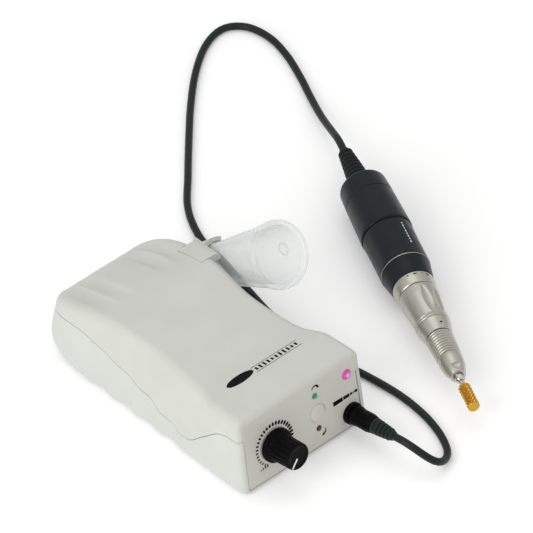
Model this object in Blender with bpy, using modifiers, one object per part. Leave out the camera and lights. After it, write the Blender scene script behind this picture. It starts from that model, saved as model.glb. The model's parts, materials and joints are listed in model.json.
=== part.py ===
"""Electric nail drill: a hand-held micromotor on a flexible lead, plugged into a
portable control unit that carries a clear cup for the handpiece.

Frame: metres, +Z up, the table top is z = 0, the control unit's front panel faces -Y.
Tables below are in millimetres; MM turns them into metres.
"""
import math

import bmesh
import bpy
from mathutils import Matrix, Vector

MM = 0.001
GAP = 0.3                       # clearance between touching pieces

# Control unit. Its own frame has x = 0 on the centre line and y = 0 at the front foot edge.
UNIT_X, UNIT_Y = -61.5, -57.22   # where that point stands in the shared frame
UNIT_LENGTH = 156.0
FLOOR_CLEARANCE = 1.2           # height of the housing above the table, on its feet
HALF_WIDTH = 42.5
PANEL_HALF_WIDTH = 40.5
WALL = 2.2
RAKE = math.radians(9.0)        # the front panel leans back by this much
REAR_START = 98.0               # the rear end is rounded from here on
REAR_MID_HEIGHT = 20.0
PANEL_THICKNESS = 2.4
PANEL_RECESS = 0.4

# Heights above the housing's underside, by distance from the front.
TOP_HEIGHT = ((0, 43.0), (22, 42.4), (48, 39.4), (76, 40.2), (108, 42.2), (146, 41.6))
TOP_INSET = ((0, 0.2), (24, 0.2), (40, 4.2), (56, 6.2), (75, 7.2), (98, 5.2), (128, 2.4), (146, 2.0))
PARTING = ((-6, 31.6), (8, 31.2), (16, 29.3), (30, 19.5), (43, 9.8), (50, 9.4), (62, 12.5),
           (80, 17.5), (100, 22.5), (125, 27.0), (160, 21.0))
SCALLOP_PITCH = 17.0
SCALLOP_DEPTH = 1.1
SCALLOP_START, SCALLOP_END = 47.0, 116.0

# Front panel layout: x and distance up the slope of the panel.
KNOB_AT = (-19.2, 20.0)
BUTTON_AT = (10.7, 21.6)
FORWARD_LAMP_AT = (9.9, 32.5)
REVERSE_LAMP_AT = (10.1, 12.5)
POWER_LAMP_AT = (31.6, 33.3)
SOCKET_AT = (32.0, 9.4)

KNOB_SKIRT_R, KNOB_R, KNOB_HEIGHT, KNOB_FLUTES = 9.3, 7.4, 17.5, 18
BUTTON_R, BUTTON_TRAVEL = 4.9, 1.0
LAMP_R, POWER_LAMP_R = 1.5, 2.6
INLET_X, INLET_Z = -12.0, 12.0  # charging inlet in the rear wall
SHAFT_R = 3.0

SCREW_SPOTS = ((-33, 28), (33, 28), (-21, 118), (21, 118))
FOOT_SPOTS = ((-32, 42), (32, 42), (-29, 101), (29, 101))
FOOT_R = 5.0

# Cradle: a clear tapered cup, held in a saddle whose tongue drops into a slot of the housing.
CUP_MOUTH = (57.4, 80.1, 48.0)
CUP_FLOOR = (52.8, 132.9, 8.5)
CUP_MOUTH_R, CUP_FLOOR_R, CUP_WALL = 17.7, 9.0, 2.0
NOTCH_LOW, NOTCH_HIGH = (28.7, 108.0, 36.2), (60.0, 126.0, 60.0)  # cut-out for the bracket
TONGUE_LOW, TONGUE_HIGH = (29.8, 109.6, 29.0), (32.2, 124.2, 37.4)
SADDLE_SPAN = (5.0, 15.0)       # along the cup, from its floor
SADDLE_ARC = (56, 142)          # degrees from the right, over the top of the cup

# Handpiece: stations run along its axis from the tail shoulder (0) to the tip of the burr.
TAIL = (150.4, 118.7)           # tail shoulder in the control unit's frame
AIM = math.atan2(-0.907, -0.421)  # direction from tail to burr on the table
BARREL_R = 14.0
AXIS_HEIGHT = BARREL_R + 0.05
BURR_TIP = 175.0

CORD_R = 2.0
PLUG_END = 31.0                 # from the panel to the end of the plug's boot
BOOT_LENGTH = 29.0
# The lead's route, chosen by hand, from the handpiece to the plug, in the unit's frame.
CORD_ROUTE = (
    (171.0, 162.6, 11.0), (179.2, 179.6, 5.8), (187.6, 196.4, 2.9), (195.6, 213.0, 2.1),
    (202.4, 230.6, 2.1), (205.7, 247.4, 2.1), (202.8, 262.2, 2.1), (192.6, 269.6, 2.1),
    (177.1, 266.0, 2.1), (158.1, 253.4, 2.1), (138.2, 235.6, 2.1), (118.9, 216.0, 2.1),
    (99.9, 196.0, 2.1), (82.0, 176.4, 2.1), (71.4, 155.0, 2.1), (67.4, 132.0, 2.1),
    (62.4, 110.0, 2.1), (58.2, 88.0, 2.1), (57.0, 66.0, 2.1), (58.6, 43.0, 2.1),
    (62.5, 21.0, 2.1), (64.6, 1.0, 2.1), (63.6, -17.4, 2.1), (59.8, -33.0, 2.1),
    (53.6, -45.0, 2.6), (45.6, -50.6, 4.8), (38.2, -50.0, 9.6),
)
CORD_STEP = 8.0

COLOURS = {
    "housing_top": (0.62, 0.62, 0.57, 0.42, 0.0),
    "housing_base": (0.66, 0.68, 0.64, 0.42, 0.0),
    "panel_grey": (0.50, 0.48, 0.44, 0.45, 0.0),
    "black_plastic": (0.012, 0.014, 0.015, 0.35, 0.0),
    "white_plastic": (0.74, 0.74, 0.70, 0.35, 0.0),
    "clear_plastic": (0.85, 0.88, 0.90, 0.08, 0.0),
    "rubber_black": (0.010, 0.012, 0.012, 0.55, 0.0),
    "cord_black": (0.010, 0.016, 0.015, 0.35, 0.0),
    "barrel_black": (0.012, 0.016, 0.020, 0.30, 0.0),
    "satin_steel": (0.42, 0.40, 0.36, 0.28, 1.0),
    "bright_steel": (0.62, 0.62, 0.60, 0.18, 1.0),
    "gold_burr": (0.66, 0.36, 0.05, 0.25, 1.0),
    "lamp_green": (0.005, 0.34, 0.12, 0.25, 0.0),
    "lamp_red": (0.04, 0.003, 0.004, 0.25, 0.0),
    "lamp_pink": (0.70, 0.08, 0.38, 0.30, 0.0),
    "board_green": (0.01, 0.12, 0.05, 0.50, 0.0),
    "magnet_grey": (0.09, 0.09, 0.10, 0.45, 0.6),
    "copper_red": (0.50, 0.16, 0.05, 0.30, 1.0),
    "brass_yellow": (0.60, 0.42, 0.14, 0.30, 1.0),
    "battery_blue": (0.02, 0.10, 0.32, 0.40, 0.0),
    "alloy_sink": (0.55, 0.56, 0.57, 0.40, 1.0),
    "cutter": (0.9, 0.1, 0.1, 0.5, 0.0),
}


def clear_scene():
    for thing in list(bpy.data.objects):
        bpy.data.objects.remove(thing, do_unlink=True)


def new_collection(name):
    collection = bpy.data.collections.new(name)
    bpy.context.scene.collection.children.link(collection)
    return collection


clear_scene()
PARTS = new_collection("electric_nail_drill")
CUTTERS = new_collection("cutters")
_materials = {}


def material(name):
    if name not in _materials:
        red, green, blue, roughness, metallic = COLOURS[name]
        made = bpy.data.materials.new(name)
        made.use_nodes = True
        shader = made.node_tree.nodes["Principled BSDF"]
        shader.inputs["Base Color"].default_value = (red, green, blue, 1.0)
        shader.inputs["Roughness"].default_value = roughness
        shader.inputs["Metallic"].default_value = metallic
        _materials[name] = made
    return _materials[name]


# ---------------------------------------------------------------- helpers

def empty(name, location_mm, rotation=(0.0, 0.0, 0.0), parent=None):
    frame = bpy.data.objects.new(name, None)
    frame.location = Vector(location_mm) * MM
    frame.rotation_euler = rotation
    frame.parent = parent
    PARTS.objects.link(frame)
    return frame


def add_mesh(name, bm, colour, parent=None, location_mm=(0, 0, 0), cutter=False, smooth=True):
    """Link a finished bmesh, whose coordinates are metres, as one named object."""
    mesh = bpy.data.meshes.new(name)
    bm.to_mesh(mesh)
    bm.free()
    mesh.materials.append(material("cutter" if cutter else colour))
    if smooth:
        mesh.shade_smooth()
        mesh.set_sharp_from_angle(angle=math.radians(35))
    thing = bpy.data.objects.new(name, mesh)
    thing.parent = parent
    thing.location = Vector(location_mm) * MM
    (CUTTERS if cutter else PARTS).objects.link(thing)
    if cutter:
        thing.hide_render = True
        thing.display_type = "WIRE"
    return thing


def box(name, low, high, colour="cutter", parent=None, cutter=False, bevel=0.0, at=(0, 0, 0)):
    """A block between two corners, in millimetres in its parent's frame."""
    bm = bmesh.new()
    bmesh.ops.create_cube(bm, size=1.0)
    size = [(h - l) * MM for l, h in zip(low, high)]
    middle = [(h + l) / 2 * MM for l, h in zip(low, high)]
    bmesh.ops.scale(bm, vec=size, verts=bm.verts)
    bmesh.ops.translate(bm, vec=middle, verts=bm.verts)
    thing = add_mesh(name, bm, colour, parent, at, cutter, smooth=False)
    if bevel:
        edge = thing.modifiers.new("edges", "BEVEL")
        edge.width = bevel * MM
        edge.segments = 2
        edge.limit_method = "ANGLE"
    return thing


def rod(name, radius, low, high, colour="cutter", parent=None, at=(0, 0, 0), cutter=False,
        sides=16, axis="Z"):
    """A cylinder along its frame's axis, from low to high in millimetres."""
    bm = bmesh.new()
    bmesh.ops.create_cone(bm, cap_ends=True, segments=sides, radius1=radius * MM,
                          radius2=radius * MM, depth=(high - low) * MM)
    bmesh.ops.translate(bm, vec=(0, 0, (high + low) / 2 * MM), verts=bm.verts)
    if axis == "X":
        bmesh.ops.rotate(bm, matrix=Matrix.Rotation(math.pi / 2, 3, "Y"), verts=bm.verts)
    if axis == "Y":
        bmesh.ops.rotate(bm, matrix=Matrix.Rotation(-math.pi / 2, 3, "X"), verts=bm.verts)
    return add_mesh(name, bm, colour, parent, at, cutter)


def turned(name, outer, colour="cutter", inner=None, parent=None, at=(0, 0, 0), steps=20,
           cutter=False):
    """A turned piece. outer is (radius, height) from the top down; inner goes back up."""
    points = list(outer) + list(inner or [])
    closed = inner is not None
    if not closed:
        points = [(0.0, outer[0][1])] * (outer[0][0] > 0) + points
        points += [(0.0, outer[-1][1])] * (outer[-1][0] > 0)
    bm = bmesh.new()
    verts = [bm.verts.new((r * MM, 0.0, h * MM)) for r, h in points]
    for first, second in zip(verts, verts[1:]):
        bm.edges.new((first, second))
    if closed:
        bm.edges.new((verts[-1], verts[0]))
    thing = add_mesh(name, bm, colour, parent, at, cutter, smooth=False)
    screw = thing.modifiers.new("turn", "SCREW")
    screw.axis = "Z"
    screw.angle = math.tau
    screw.steps = steps
    screw.render_steps = steps
    screw.use_merge_vertices = True
    screw.merge_threshold = 0.00001
    screw.use_smooth_shade = True
    return thing


def ring(name, r_out, r_in, low, high, colour, parent, steps=16):
    """A plain turned ring with a square section."""
    return turned(name, ((r_out, high), (r_out, low)), colour, ((r_in, low), (r_in, high)),
                  parent=parent, steps=steps)


def cut(target, cutter, operation="DIFFERENCE"):
    step = target.modifiers.new(operation.lower() + "_" + cutter.name, "BOOLEAN")
    step.operation = operation
    step.object = cutter
    step.solver = "EXACT"


def curve_value(table, at):
    """Smooth height of a table of (position, value) knots: a monotone-ish Hermite curve."""
    if at <= table[0][0]:
        return table[0][1]
    if at >= table[-1][0]:
        return table[-1][1]
    index = max(i for i in range(len(table) - 1) if table[i][0] <= at)
    (x0, y0), (x1, y1) = table[index], table[index + 1]

    def slope(i):
        if i in (0, len(table) - 1):
            return 0.0
        left = (table[i][1] - table[i - 1][1]) / (table[i][0] - table[i - 1][0])
        right = (table[i + 1][1] - table[i][1]) / (table[i + 1][0] - table[i][0])
        return 0.0 if left * right <= 0 else 2 * left * right / (left + right)

    span = x1 - x0
    t = (at - x0) / span
    return ((2 * t**3 - 3 * t**2 + 1) * y0 + (t**3 - 2 * t**2 + t) * span * slope(index)
            + (3 * t**2 - 2 * t**3) * y1 + (t**3 - t**2) * span * slope(index + 1))


# ---------------------------------------------------------------- control unit housing

def scallop(along):
    """How far the grip valleys push the side wall in at a distance from the front."""
    if not SCALLOP_START < along < SCALLOP_END:
        return 0.0
    return 0.5 * SCALLOP_DEPTH * (1 - math.cos(math.tau * (along - SCALLOP_START) / SCALLOP_PITCH))


def section(along, inset, grips):
    """Half outline of the housing at a distance from the front, from underside to top.

    Returned as (x, height) pairs on the right-hand side, both ends on the centre line.
    """
    taper = max(0.0, 1 - max(along, 0) / 9.0)
    base = HALF_WIDTH - (HALF_WIDTH - PANEL_HALF_WIDTH) * taper**2
    shoulder = min(base - 0.2, PANEL_HALF_WIDTH - curve_value(TOP_INSET, along))
    top = curve_value(TOP_HEIGHT, along)
    bottom = 0.0
    width_scale = 1.0
    if along > REAR_START:
        u = min((along - REAR_START) / (UNIT_LENGTH - inset - REAR_START), 0.992)
        width_scale = (1 - u**5.0) ** (1 / 5.0)
        top = REAR_MID_HEIGHT + (top - REAR_MID_HEIGHT) * (1 - u**1.8) ** (1 / 1.8)
        bottom = REAR_MID_HEIGHT * (1 - (1 - u**3.0) ** (1 / 3.0))
    top -= inset
    bottom += inset
    rise = top - bottom
    corner = min(4.5, 0.3 * rise)
    points = [(0.0, bottom)]
    side = []
    for step in range(3):
        angle = math.pi / 2 * step / 2
        side.append((base - corner * 0.6 * (1 - math.sin(angle)),
                     bottom + corner * 0.6 * (1 - math.cos(angle))))
    for part in (0.3, 0.45, 0.6, 0.75):
        lean = part**1.6
        push = scallop(along) * (1 - part) * 1.4 if grips else 0.0
        side.append((base + (shoulder - base) * lean - push, bottom + rise * part))
    for step in range(1, 4):
        angle = math.pi / 2 * step / 3
        side.append((shoulder - corner * (1 - math.cos(angle)),
                     top - corner * (1 - math.sin(angle))))
    points += [((x - inset) * width_scale, z) for x, z in side]
    points.append((0.0, top))
    return points


def housing_body(name, stations, inset, grips, cutter=True, colour="cutter"):
    """Closed loft of the housing's outline through stations along its length."""
    bm = bmesh.new()
    loops = []
    for along in stations:
        half = section(along, inset, grips)
        outline = half + [(-x, z) for x, z in reversed(half[1:-1])]
        lean = math.tan(RAKE) * max(0.0, 1 - max(along, 0) / 40.0)
        loops.append([bm.verts.new((x * MM, (along + lean * z) * MM, (z + FLOOR_CLEARANCE) * MM))
                      for x, z in outline])
    count = len(loops[0])
    for near, far in zip(loops, loops[1:]):
        for i in range(count):
            j = (i + 1) % count
            bm.faces.new((near[i], near[j], far[j]))
            bm.faces.new((near[i], far[j], far[i]))
    bm.faces.new(list(reversed(loops[0])))
    bm.faces.new(loops[-1])
    bmesh.ops.recalc_face_normals(bm, faces=bm.faces)
    bmesh.ops.triangulate(bm, faces=[f for f in bm.faces if len(f.verts) > 4])
    return add_mesh(name, bm, colour, UNIT, cutter=cutter)


def prism(name, outline, x_low, x_high, parent):
    """A block with a (y, z) outline, from x_low to x_high, in millimetres."""
    bm = bmesh.new()
    base = [bm.verts.new((x_low * MM, y * MM, z * MM)) for y, z in outline]
    face = bm.faces.new(base)
    grown = bmesh.ops.extrude_face_region(bm, geom=[face])
    verts = [g for g in grown["geom"] if isinstance(g, bmesh.types.BMVert)]
    bmesh.ops.translate(bm, vec=((x_high - x_low) * MM, 0, 0), verts=verts)
    bmesh.ops.recalc_face_normals(bm, faces=bm.faces)
    return add_mesh(name, bm, "cutter", parent, cutter=True, smooth=False)


UNIT = empty("control_unit_frame", (UNIT_X, UNIT_Y, 0))
PANEL = empty("panel_frame", (0, 0, FLOOR_CLEARANCE), (math.pi / 2 - RAKE, 0, 0), UNIT)


def rear_stations(inset):
    reach = UNIT_LENGTH - inset - REAR_START
    return [REAR_START + reach * u for u in (0.147, 0.293, 0.5, 0.7, 0.86, 0.95, 0.992)]


def build_housing():
    outer_stations = [0, 2.5, 6, 12, 24, 36]
    outer_stations += [SCALLOP_START + SCALLOP_PITCH / 2 * i for i in range(6)]
    outer_stations.append(REAR_START)
    inner_stations = [-4, 9, 25, 40, 56, 75, REAR_START]
    seam = [(y, curve_value(PARTING, y) + FLOOR_CLEARANCE) for y in range(-6, 165, 4)]
    below = prism("below_parting", [(-6, -9), *seam, (162, -9)], -60, 60, UNIT)
    above = prism("above_parting", [(-6, 70)] + [(y, z + GAP) for y, z in seam] + [(162, 70)],
                  -60, 60, UNIT)
    hollow = housing_body("housing_hollow", inner_stations + rear_stations(WALL)[::2], WALL, False)
    shells = {}
    for name, colour, side in (("lower_housing", "housing_base", below),
                               ("upper_housing", "housing_top", above)):
        shell = housing_body(name, outer_stations + rear_stations(0), 0.0, True, False, colour)
        cut(shell, side, "INTERSECT")
        cut(shell, hollow)
        shells[name] = shell
    lower, upper = shells["lower_housing"], shells["upper_housing"]

    for index, (x, y) in enumerate(SCREW_SPOTS, 1):
        plate = FLOOR_CLEARANCE
        at = (x, y, plate)
        roof = section(y, 0.0, False)[-1][1] - WALL / 2
        cut(lower, rod(f"boss_{index}", 4.6, 0.8, 5.4, parent=UNIT, at=at, cutter=True), "UNION")
        cut(lower, rod(f"screw_way_{index}", 1.8, -1, 8, parent=UNIT, at=at, cutter=True))
        cut(lower, rod(f"screw_well_{index}", 3.2, -1, 2.8, parent=UNIT, at=at, cutter=True))
        cut(upper, rod(f"post_{index}", 3.8, 5.4 + GAP, roof, parent=UNIT, at=at, cutter=True),
            "UNION")
        cut(upper, rod(f"post_bore_{index}", 1.8, 3, 17, parent=UNIT, at=at, cutter=True))
        turned(f"housing_screw_{index}", ((1.4, 15.6), (1.5, 14.8), (1.5, 2.5), (2.8, 2.3),
               (2.8, 0.7), (2.2, 0.3)), "bright_steel", parent=UNIT, at=at, steps=14)
    for index, (x, y) in enumerate(FOOT_SPOTS, 1):
        cut(lower, rod(f"foot_well_{index}", FOOT_R + GAP, 0.4, 2.1, parent=UNIT,
                       at=(x, y, 0), cutter=True))
        turned(f"rubber_foot_{index}", ((FOOT_R, 1.8), (FOOT_R, 0.5), (FOOT_R - 0.5, 0.0)),
               "rubber_black", parent=UNIT, at=(x, y, 0), steps=20)

    lift = (0, 0, FLOOR_CLEARANCE)
    cut(upper, box("cradle_notch", NOTCH_LOW, NOTCH_HIGH, parent=UNIT, cutter=True, at=lift))
    cut(upper, box("tongue_slot", [v - GAP for v in TONGUE_LOW], [v + GAP for v in TONGUE_HIGH],
                   parent=UNIT, cutter=True, at=lift))
    inlet_way = rod("inlet_way", 5.2 + GAP, 120, 170, parent=UNIT,
                    at=(INLET_X, 0, INLET_Z), cutter=True, axis="Y")
    cut(lower, inlet_way)
    return lower, upper


def build_inlet():
    """Low-voltage charging inlet in the rear wall, open to the back."""
    face = 148.0
    turned("charge_inlet", ((4.9, face), (4.9, 128.0)), "black_plastic",
           ((0.0, 128.0), (0.0, 135.0), (3.3, 135.0), (3.3, face)), parent=empty(
               "inlet_frame", (INLET_X, 0, INLET_Z), (-math.pi / 2, 0, 0), UNIT), steps=20)


def build_front_panel():
    inset = WALL + GAP
    panel = housing_body("front_panel", [PANEL_RECESS, PANEL_RECESS + PANEL_THICKNESS], inset,
                         False, False, "panel_grey")
    holes = ((KNOB_AT, 3.6 + GAP), (BUTTON_AT, BUTTON_R + GAP), (FORWARD_LAMP_AT, LAMP_R + GAP),
             (REVERSE_LAMP_AT, LAMP_R + GAP), (POWER_LAMP_AT, POWER_LAMP_R + GAP),
             (SOCKET_AT, 4.0 + GAP))
    for index, ((x, up), radius) in enumerate(holes):
        cut(panel, rod(f"panel_hole_{index}", radius, -8, 8, parent=PANEL, at=(x, up, 0),
                       cutter=True))


def build_speed_control():
    """Potentiometer, its nut, and the knob that turns with its shaft."""
    at = (*KNOB_AT, 0)
    back = -(PANEL_RECESS + PANEL_THICKNESS + GAP)
    bore = SHAFT_R + GAP
    turned("speed_potentiometer", ((3.6, 4.6), (3.6, back), (8.2, back), (8.2, back - 7.5)),
           "satin_steel", ((bore, back - 7.5), (bore, 4.6)), parent=PANEL, at=at, steps=20)
    nut = rod("potentiometer_nut", 5.8, GAP - PANEL_RECESS, 2.0, "bright_steel", PANEL, at,
              sides=6)
    cut(nut, rod("nut_bore", 3.6 + GAP, -4, 6, parent=PANEL, at=at, cutter=True))
    knob = empty("speed_knob_axis", at, parent=PANEL)
    rod("potentiometer_shaft", SHAFT_R, back - 7.0, 14.0, "alloy_sink", knob)
    turned("speed_knob", ((6.3, KNOB_HEIGHT), (KNOB_R - 0.4, KNOB_HEIGHT - 0.9), (KNOB_R, 4.2),
           (KNOB_SKIRT_R - 0.4, 3.6), (KNOB_SKIRT_R, 2.8), (KNOB_SKIRT_R, 0.9)), "black_plastic",
           ((6.9, 0.9), (6.9, 5.2), (bore, 5.2), (bore, 14.5), (0.0, 14.5), (0.0, KNOB_HEIGHT)),
           parent=knob, steps=KNOB_FLUTES * 2)


def build_button_and_lamps():
    at = (*BUTTON_AT, 0)
    button = empty("direction_button_axis", at, parent=PANEL)
    turned("direction_button", ((3.9, 1.5), (4.6, 1.2), (BUTTON_R, 0.6), (BUTTON_R, -3.2),
           (1.6, -3.6), (1.6, -9.4)), "white_plastic", parent=button, steps=24)
    body = box("direction_switch", (-3.4, -3.4, -12.6), (3.4, 3.4, -7.6), "black_plastic", PANEL,
               at=at)
    cut(body, rod("plunger_way", 1.6 + GAP, -11.0, -5, parent=PANEL, at=at, cutter=True, sides=16))
    for name, spot, radius, colour in (
            ("forward_lamp", FORWARD_LAMP_AT, LAMP_R, "lamp_green"),
            ("reverse_lamp", REVERSE_LAMP_AT, LAMP_R, "lamp_red"),
            ("power_lamp", POWER_LAMP_AT, POWER_LAMP_R, "lamp_pink")):
        dome = [(radius * math.cos(a), -0.1 + 0.55 * radius * math.sin(a))
                for a in (math.pi / 2, 1.05, 0.55, 0.0)]
        dome[0] = (0.0, dome[0][1])
        turned(name, (*dome, (radius, -4.6), (radius + 0.35, -4.6), (radius + 0.35, -5.6)),
               colour, parent=PANEL, at=(*spot, 0), steps=18)


def build_socket_and_plug():
    at = (*SOCKET_AT, 0)
    back = -(PANEL_RECESS + PANEL_THICKNESS + GAP)
    turned("handpiece_socket", ((4.0, 2.4), (4.0, back), (4.6, back), (4.6, -13.0)),
           "black_plastic", ((0.0, -13.0), (0.0, -11.8), (2.1, -11.8), (2.1, 2.4)), parent=PANEL,
           at=at, steps=20)
    frame = empty("socket_frame", at, parent=PANEL)
    ring("socket_nut", 5.9, 4.0 + GAP, GAP - PANEL_RECESS, 2.6, "black_plastic", frame, 20)
    turned("plug_pin", ((1.7, 2.7), (1.7, -9.8), (1.1, -11.0)), "bright_steel",
           parent=frame, steps=14)
    turned("plug_body", ((4.4, 17.0), (4.9, 16.2), (4.9, 4.0), (5.1, 3.6), (5.1, 3.0)),
           "black_plastic", parent=frame, steps=20)
    ribs = []
    for rib in range(5):
        low = 17.0 + GAP + rib * 2.3
        r = 4.1 - 0.2 * rib
        ribs += [(r, low), (r - 0.7, low + 1.6)]
    outline = [*ribs, (2.9, 28.9), (2.7, PLUG_END)]
    turned("plug_boot", outline[::-1], "rubber_black", parent=frame, steps=18)


def build_electronics():
    """Boards and cells: control board behind the panel, power board and battery behind it."""
    board = box("control_board", (-35, 6.5, -14.7), (35, 36, -12.6 - GAP), "board_green", PANEL)
    cut(board, box("socket_notch", (-7.0, -12.0, -20), (12.0, 7.0, -8), parent=PANEL,
                   at=(*SOCKET_AT, 0), cutter=True))
    base = FLOOR_CLEARANCE + WALL + GAP
    radius, count = 9.0, 3
    axis_height = base + radius
    pack = rod("battery_pack", radius, 43.0, 108.0, "battery_blue", UNIT, axis="Y",
               at=(0, 0, axis_height))
    for side in (-1, 1):
        x = side * 2 * radius
        cut(pack, rod(f"cell_{side + count}", radius + 0.01, 43.0, 108.0, parent=UNIT, axis="Y",
                      at=(x, 0, axis_height), cutter=True), "UNION")
    cut(pack, box("pack_wrap", (-2 * radius, 44.0, base), (2 * radius, 107.0, base + 2 * radius),
                  parent=UNIT, cutter=True), "UNION")
    board = box("power_board", (-26.0, 26.5, base + 5.0), (24.0, 38.6, base + 6.6),
                "board_green", UNIT)
    sink = box("heat_sink", (-22.0, 28.0, base + 6.0), (2.0, 37.4, base + 17.0),
               parent=UNIT, cutter=True)
    cut(board, sink, "UNION")


# ---------------------------------------------------------------- cradle

def build_cradle():
    mouth, floor = Vector(CUP_MOUTH), Vector(CUP_FLOOR)
    length = (mouth - floor).length
    aim = (mouth - floor).to_track_quat("Z", "Y").to_euler()
    lift = empty("cradle_frame", (0, 0, FLOOR_CLEARANCE), parent=UNIT)
    cup_frame = empty("cup_frame", floor, aim, lift)

    def wall(at):
        return CUP_FLOOR_R + (CUP_MOUTH_R - CUP_FLOOR_R) * at / length

    outer = [(wall(length) - CUP_WALL / 2, length), (wall(length), length - 1.2),
             (CUP_FLOOR_R, 1.5), (CUP_FLOOR_R - 1.5, 0.0)]
    inner = [(0.0, 0.0), (0.0, CUP_WALL), (CUP_FLOOR_R - CUP_WALL, CUP_WALL),
             (wall(length) - CUP_WALL, length - 1.2)]
    turned("cradle_cup", outer, "clear_plastic", inner, parent=cup_frame, steps=28)

    # Saddle: a part ring over the cup, carried by a web, an arm and a tongue.
    low, high = SADDLE_SPAN
    thick, play = 2.2, 2 * GAP
    bm = bmesh.new()
    loops = []
    for step in range(9):
        angle = math.radians(SADDLE_ARC[0] + (SADDLE_ARC[1] - SADDLE_ARC[0]) * step / 8)
        spots = ((wall(high) + play, high), (wall(high) + play + thick, high),
                 (wall(low) + play + thick, low), (wall(low) + play, low))
        loops.append([bm.verts.new((r * math.cos(angle) * MM, r * math.sin(angle) * MM, h * MM))
                      for r, h in spots])
    for near, far in zip(loops, loops[1:]):
        for i in range(4):
            j = (i + 1) % 4
            bm.faces.new((near[i], near[j], far[j], far[i]))
    bm.faces.new(list(reversed(loops[0])))
    bm.faces.new(loops[-1])
    bmesh.ops.recalc_face_normals(bm, faces=bm.faces)
    saddle = add_mesh("cradle_bracket", bm, "housing_top", cup_frame, smooth=False)
    left, front, level = (value + GAP for value in NOTCH_LOW)
    rear = NOTCH_HIGH[1] - GAP
    web = box("bracket_web", (41.3, 123.0, 21.5), (43.3, 130.0, 38.0), parent=lift, cutter=True)
    arm = box("bracket_arm", (left, front, level), (42.3, rear, 38.6), parent=lift, cutter=True)
    tongue = box("bracket_tongue", TONGUE_LOW, TONGUE_HIGH, parent=lift, cutter=True)
    for piece in (web, arm, tongue):
        cut(saddle, piece, "UNION")


# ---------------------------------------------------------------- handpiece

HANDPIECE = empty("handpiece_axis", (TAIL[0], TAIL[1], AXIS_HEIGHT), (0, math.pi / 2, AIM), UNIT)


def build_handpiece_covers():
    ribs = [(8.5, -GAP), (8.5, -2.2), (6.4, -3.2)]
    for rib in range(8):
        high = -3.4 - rib * 3.0
        r = 6.1 - 0.3 * rib
        ribs += [(r, high), (r - 0.9, high - 2.2)]
    turned("handpiece_boot", [*ribs, (3.2, -BOOT_LENGTH)], "rubber_black", parent=HANDPIECE)
    turned("rear_cap", ((13.2, 14.0), (12.9, 6.0), (12.2, 2.6), (10.8, 0.7), (9.0, 0.0)),
           "barrel_black", ((4.0, 0.0), (4.0, 2.4), (11.4, 3.4), (11.4, 14.0)), parent=HANDPIECE)
    turned("motor_sleeve", ((14.0, 40.8), (13.2, 14.0 + GAP)), "barrel_black",
           ((11.7, 14.0 + GAP), (11.7, 40.8)), parent=HANDPIECE)
    turned("front_sleeve", ((11.3, 81.6), (13.6, 69.6), (13.7, 41.1)), "barrel_black",
           ((11.7, 41.1), (11.7, 68.6), (9.4, 80.6), (9.4, 81.6)), parent=HANDPIECE)
    turned("index_ring", ((10.4, 89.0), (11.0, 84.0), (11.25, 81.9)), "satin_steel",
           ((6.7, 81.9), (6.7, 89.0)), parent=HANDPIECE)
    turned("twist_sleeve", ((9.1, 113.2), (9.6, 104.0), (10.4, 95.0), (10.4, 89.3)),
           "satin_steel", ((7.9, 89.3), (7.9, 113.2)), parent=HANDPIECE)
    turned("neck_sleeve", ((7.25, 121.7), (8.6, 115.0), (9.1, 113.5)), "satin_steel",
           ((6.7, 113.5), (5.6, 121.7)), parent=HANDPIECE)
    grip = []
    for rib in range(9):
        low = 122.0 + rib * 1.755
        r = 7.25 - 0.085 * rib
        grip += [(r - 0.5, low), (r, low + 0.8)]
    grip.append((6.0, 137.8))
    turned("ribbed_grip", grip[::-1], "satin_steel", ((5.0, 122.0), (5.0, grip[-1][1])),
           parent=HANDPIECE)
    turned("nose_cap", ((3.85, 151.3), (5.2, 149.2), (6.3, 144.0), (6.5, 138.1)), "satin_steel",
           ((3.5, 138.1), (3.5, 151.3)), parent=HANDPIECE)
    ring("nose_tube", 6.4, 5.6, 82.4, 112.8, "bright_steel", HANDPIECE)
    ring("chuck_push_ring", 7.6, 6.7, 96.0, 100.0, "brass_yellow", HANDPIECE)


def build_motor():
    low, high, lip = 15.8, 62.0, 3.0
    turned("motor_can", ((11.2, high), (11.2, low)), "satin_steel",
           ((4.7, low), (4.7, low + lip), (9.6, low + lip), (9.6, high - lip),
            (4.7, high - lip), (4.7, high)), parent=HANDPIECE)
    ring("stator_magnet", 9.3, 7.4, 25.0, 53.0, "magnet_grey", HANDPIECE)
    ring("armature", 7.0, 1.8, 26.0, 52.0, "copper_red", HANDPIECE)
    ring("commutator", 4.0, 1.8, 19.4, 25.2, "copper_red", HANDPIECE, 16)
    rod("motor_shaft", 1.5, 14.8, 66.6, "bright_steel", HANDPIECE, sides=16)
    for name, start in (("rear", low), ("front", high - lip)):
        ring(f"{name}_motor_bearing", 4.4, 1.8, start, start + lip, "bright_steel", HANDPIECE, 16)
    for index, side in enumerate((-1, 1), 1):
        edges = sorted((side * 4.3, side * 8.6))
        box(f"motor_brush_{index}", (edges[0], -1.6, 20.4), (edges[1], 1.6, 24.0), "magnet_grey",
            HANDPIECE)


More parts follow.
